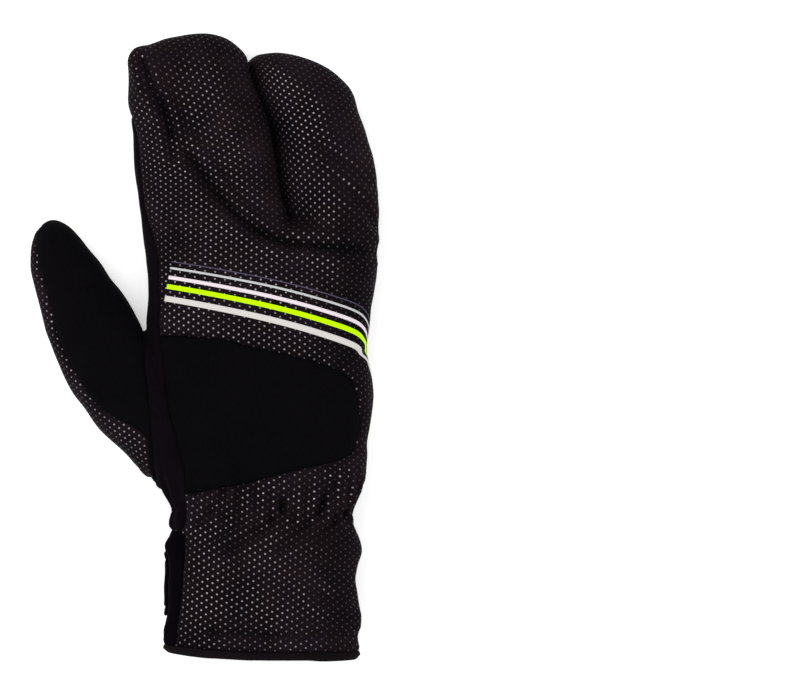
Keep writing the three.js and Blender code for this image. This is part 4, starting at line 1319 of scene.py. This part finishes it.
class MittLook(bpy.types.PropertyGroup):
    """Sizes and colours that a user would change."""

    wall: FloatProperty(
        name="Wall", description="Thickness of the padded cloth, mm", default=2.4, min=1.0, max=6.0)
    dot_across: FloatProperty(name="Dot pitch across", description="Between dots of a row, mm", default=4.45)
    dot_along: FloatProperty(name="Dot pitch along", description="Between rows of a lattice, mm", default=3.1)
    dot_size: FloatProperty(name="Dot size", description="Diameter of a printed dot, mm", default=0.76)
    softshell_colour: FloatVectorProperty(
        name="Softshell", description="Colour of the softshell", subtype="COLOR",
        default=(0.0054, 0.0034, 0.0047))
    suede_colour: FloatVectorProperty(
        name="Suede", description="Colour of the palm", subtype="COLOR", default=(0.0017, 0.001, 0.0018))
    wipe_colour: FloatVectorProperty(
        name="Brushed panel", description="Colour of the brushed panels", subtype="COLOR",
        default=(0.0014, 0.0012, 0.0017))
    dot_colour: FloatVectorProperty(
        name="Dots", description="Colour of the printed dots", subtype="COLOR", default=(0.36, 0.35, 0.36))
    key_power: FloatProperty(name="Key light", description="Power of the main light", default=7.0, unit="POWER")


class MITT_OT_softshell(bpy.types.Operator):
    """Build the dotted softshell of the back, the cuff's underside and the thumb's outer edge"""

    bl_idname = "mitt.softshell"
    bl_label = "Softshell panels"

    def execute(self, context):
        sew("softshell_back", "back", softshell, ("hand_back", "finger_back", "cuff_back"),
            "dotted_softshell", striped=True)
        sew("softshell_cuff_underside", "cuff_palm", softshell, ("cuff_palm",), "dotted_softshell",
            from_under=True)
        sew("softshell_thumb_edge", "thumb_edge", softshell, ("thumb_edge_gusset",), "dotted_softshell")
        return {"FINISHED"}


class MITT_OT_brushed(bpy.types.Operator):
    """Build the brushed panels over the knuckles and the back of the thumb"""

    bl_idname = "mitt.brushed"
    bl_label = "Brushed panels"

    def execute(self, context):
        sew("brushed_knuckles", "knuckles", brushed, ("knuckle_panel",), "brushed_panel")
        sew("brushed_thumb", "thumb_back", brushed, ("thumb_back",), "brushed_panel")
        return {"FINISHED"}


class MITT_OT_suede(bpy.types.Operator):
    """Build the suede of the palm and the thumb"""

    bl_idname = "mitt.suede"
    bl_label = "Suede panels"

    def execute(self, context):
        sew("suede_palm", "palm", suede, ("palm_panel",), "palm_suede", from_under=True)
        sew("suede_thumb", "thumb_palm", suede, ("thumb_palm",), "palm_suede", from_under=True)
        return {"FINISHED"}


class MITT_OT_edges(bpy.types.Operator):
    """Build the stretch gusset of the cuff and the turned hem"""

    bl_idname = "mitt.edges"
    bl_label = "Gusset and hem"

    def execute(self, context):
        sew("knit_gusset", "cuff_gusset", knit, ("cuff_gusset",), "stretch_knit", fill=0.3)
        sew("knit_hem", "hem", turned_hem, ("hem_binding",), "stretch_knit", fill=0.3)
        return {"FINISHED"}


class MITT_OT_closure(bpy.types.Operator):
    """Build the loop patch and the hook tab under the cuff"""

    bl_idname = "mitt.closure"
    bl_label = "Hook and loop closure"

    def execute(self, context):
        piece = cloth_piece("pile_patch", closure_skin("patch"), 0,
                            lambda base, normal, lift: lift + PATCH_LIFT + PATCH_THICKNESS,
                            lambda base, normal, lift: lift + PATCH_LIFT, [pile(), pile()], swell=0.3)
        padded(piece, ("loop_patch",), "loop_pile", 0.5)
        piece = cloth_piece("hook_tab", closure_skin("tab"), 0, tab_outer, tab_inner,
                            [tab_rim(), suede(), tab_rim()], swell=0.6, kind_of=tab_kinds)
        padded(piece, ("closure_tab",), "palm_suede", 0.5)
        return {"FINISHED"}


class MITT_OT_stitching(bpy.types.Operator):
    """Sew the zigzag beside the thumb's seam in the palm"""

    bl_idname = "mitt.stitching"
    bl_label = "Stitching"

    def execute(self, context):
        palm = bpy.data.objects.get("suede_palm")
        if palm is None:
            raise RuntimeError("the suede panels come before the stitching")
        piece = stitched_line("palm_stitching", STITCH_LINE, STITCH_PITCH, STITCH_SPREAD, palm)
        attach(piece, "root")
        return {"FINISHED"}


class MITT_OT_stage(bpy.types.Operator):
    """Lay a pale floor, soft studio lights and the camera above the mitt"""

    bl_idname = "mitt.stage"
    bl_label = "Stage"

    def execute(self, context):
        scene = context.scene
        mesh = bpy.data.meshes.new("floor")
        corners = [(x * FLOOR_REACH, y * FLOOR_REACH, 0) for x, y in ((-1, -1), (1, -1), (1, 1), (-1, 1))]
        mesh.from_pydata(corners, [], [(0, 1, 2, 3)])
        floor = bpy.data.objects.new("floor", mesh)
        floor.location.z = FLOOR_Z
        scene.collection.objects.link(floor)
        material, tree, shader = new_material("pale_floor", 0.9, 0.1)
        shader.inputs["Base Color"].default_value = (0.93, 0.93, 0.93, 1)
        shader.inputs["Emission Color"].default_value = (1, 1, 1, 1)
        shader.inputs["Emission Strength"].default_value = 0.4
        mesh.materials.append(material)
        world = bpy.data.worlds.new("studio")
        world.use_nodes = True
        world.node_tree.nodes["Background"].inputs[0].default_value = (1, 1, 1, 1)
        world.node_tree.nodes["Background"].inputs[1].default_value = 0.86
        scene.world = world
        for name, spot, size, share in LIGHTS:
            light = bpy.data.lights.new(name, "AREA")
            light.size = size
            light.energy = scene.mitt_look.key_power * share
            lamp = bpy.data.objects.new(name, light)
            lamp.location = spot
            lamp.rotation_euler = (-Vector(spot)).to_track_quat("-Z", "Y").to_euler()
            scene.collection.objects.link(lamp)
        camera = bpy.data.cameras.new("camera")
        camera.lens = 200.0
        camera.sensor_width = 36.0
        eye = bpy.data.objects.new("camera", camera)
        eye.location = (*VIEW_MIDDLE, VIEW_WIDTH * camera.lens / camera.sensor_width + VIEW_HEIGHT)
        scene.collection.objects.link(eye)
        scene.camera = eye
        scene.view_settings.view_transform = "Standard"
        return {"FINISHED"}


class MITT_PT_panel(bpy.types.Panel):
    """The mitt's steps and sizes in the sidebar"""

    bl_label = "Lobster claw mitt"
    bl_idname = "MITT_PT_panel"
    bl_space_type = "VIEW_3D"
    bl_region_type = "UI"
    bl_category = "Mitt"

    def draw(self, context):
        for operator in OPERATORS:
            self.layout.operator(operator.bl_idname)
        for name in MittLook.__annotations__:
            self.layout.prop(context.scene.mitt_look, name)


OPERATORS = (
    MITT_OT_softshell, MITT_OT_brushed, MITT_OT_suede, MITT_OT_edges, MITT_OT_closure, MITT_OT_stitching,
    MITT_OT_stage,
)
CLASSES = (MittLook, *OPERATORS, MITT_PT_panel)


def register():
    for item in CLASSES:
        bpy.utils.register_class(item)
    bpy.types.Scene.mitt_look = PointerProperty(type=MittLook)


def unregister():
    del bpy.types.Scene.mitt_look
    for item in reversed(CLASSES):
        bpy.utils.unregister_class(item)


def main():
    register()
    bpy.ops.mitt.softshell()
    bpy.ops.mitt.brushed()
    bpy.ops.mitt.suede()
    bpy.ops.mitt.edges()
    bpy.ops.mitt.closure()
    bpy.ops.mitt.stitching()
    bpy.ops.mitt.stage()


if __name__ == "__main__":
    main()
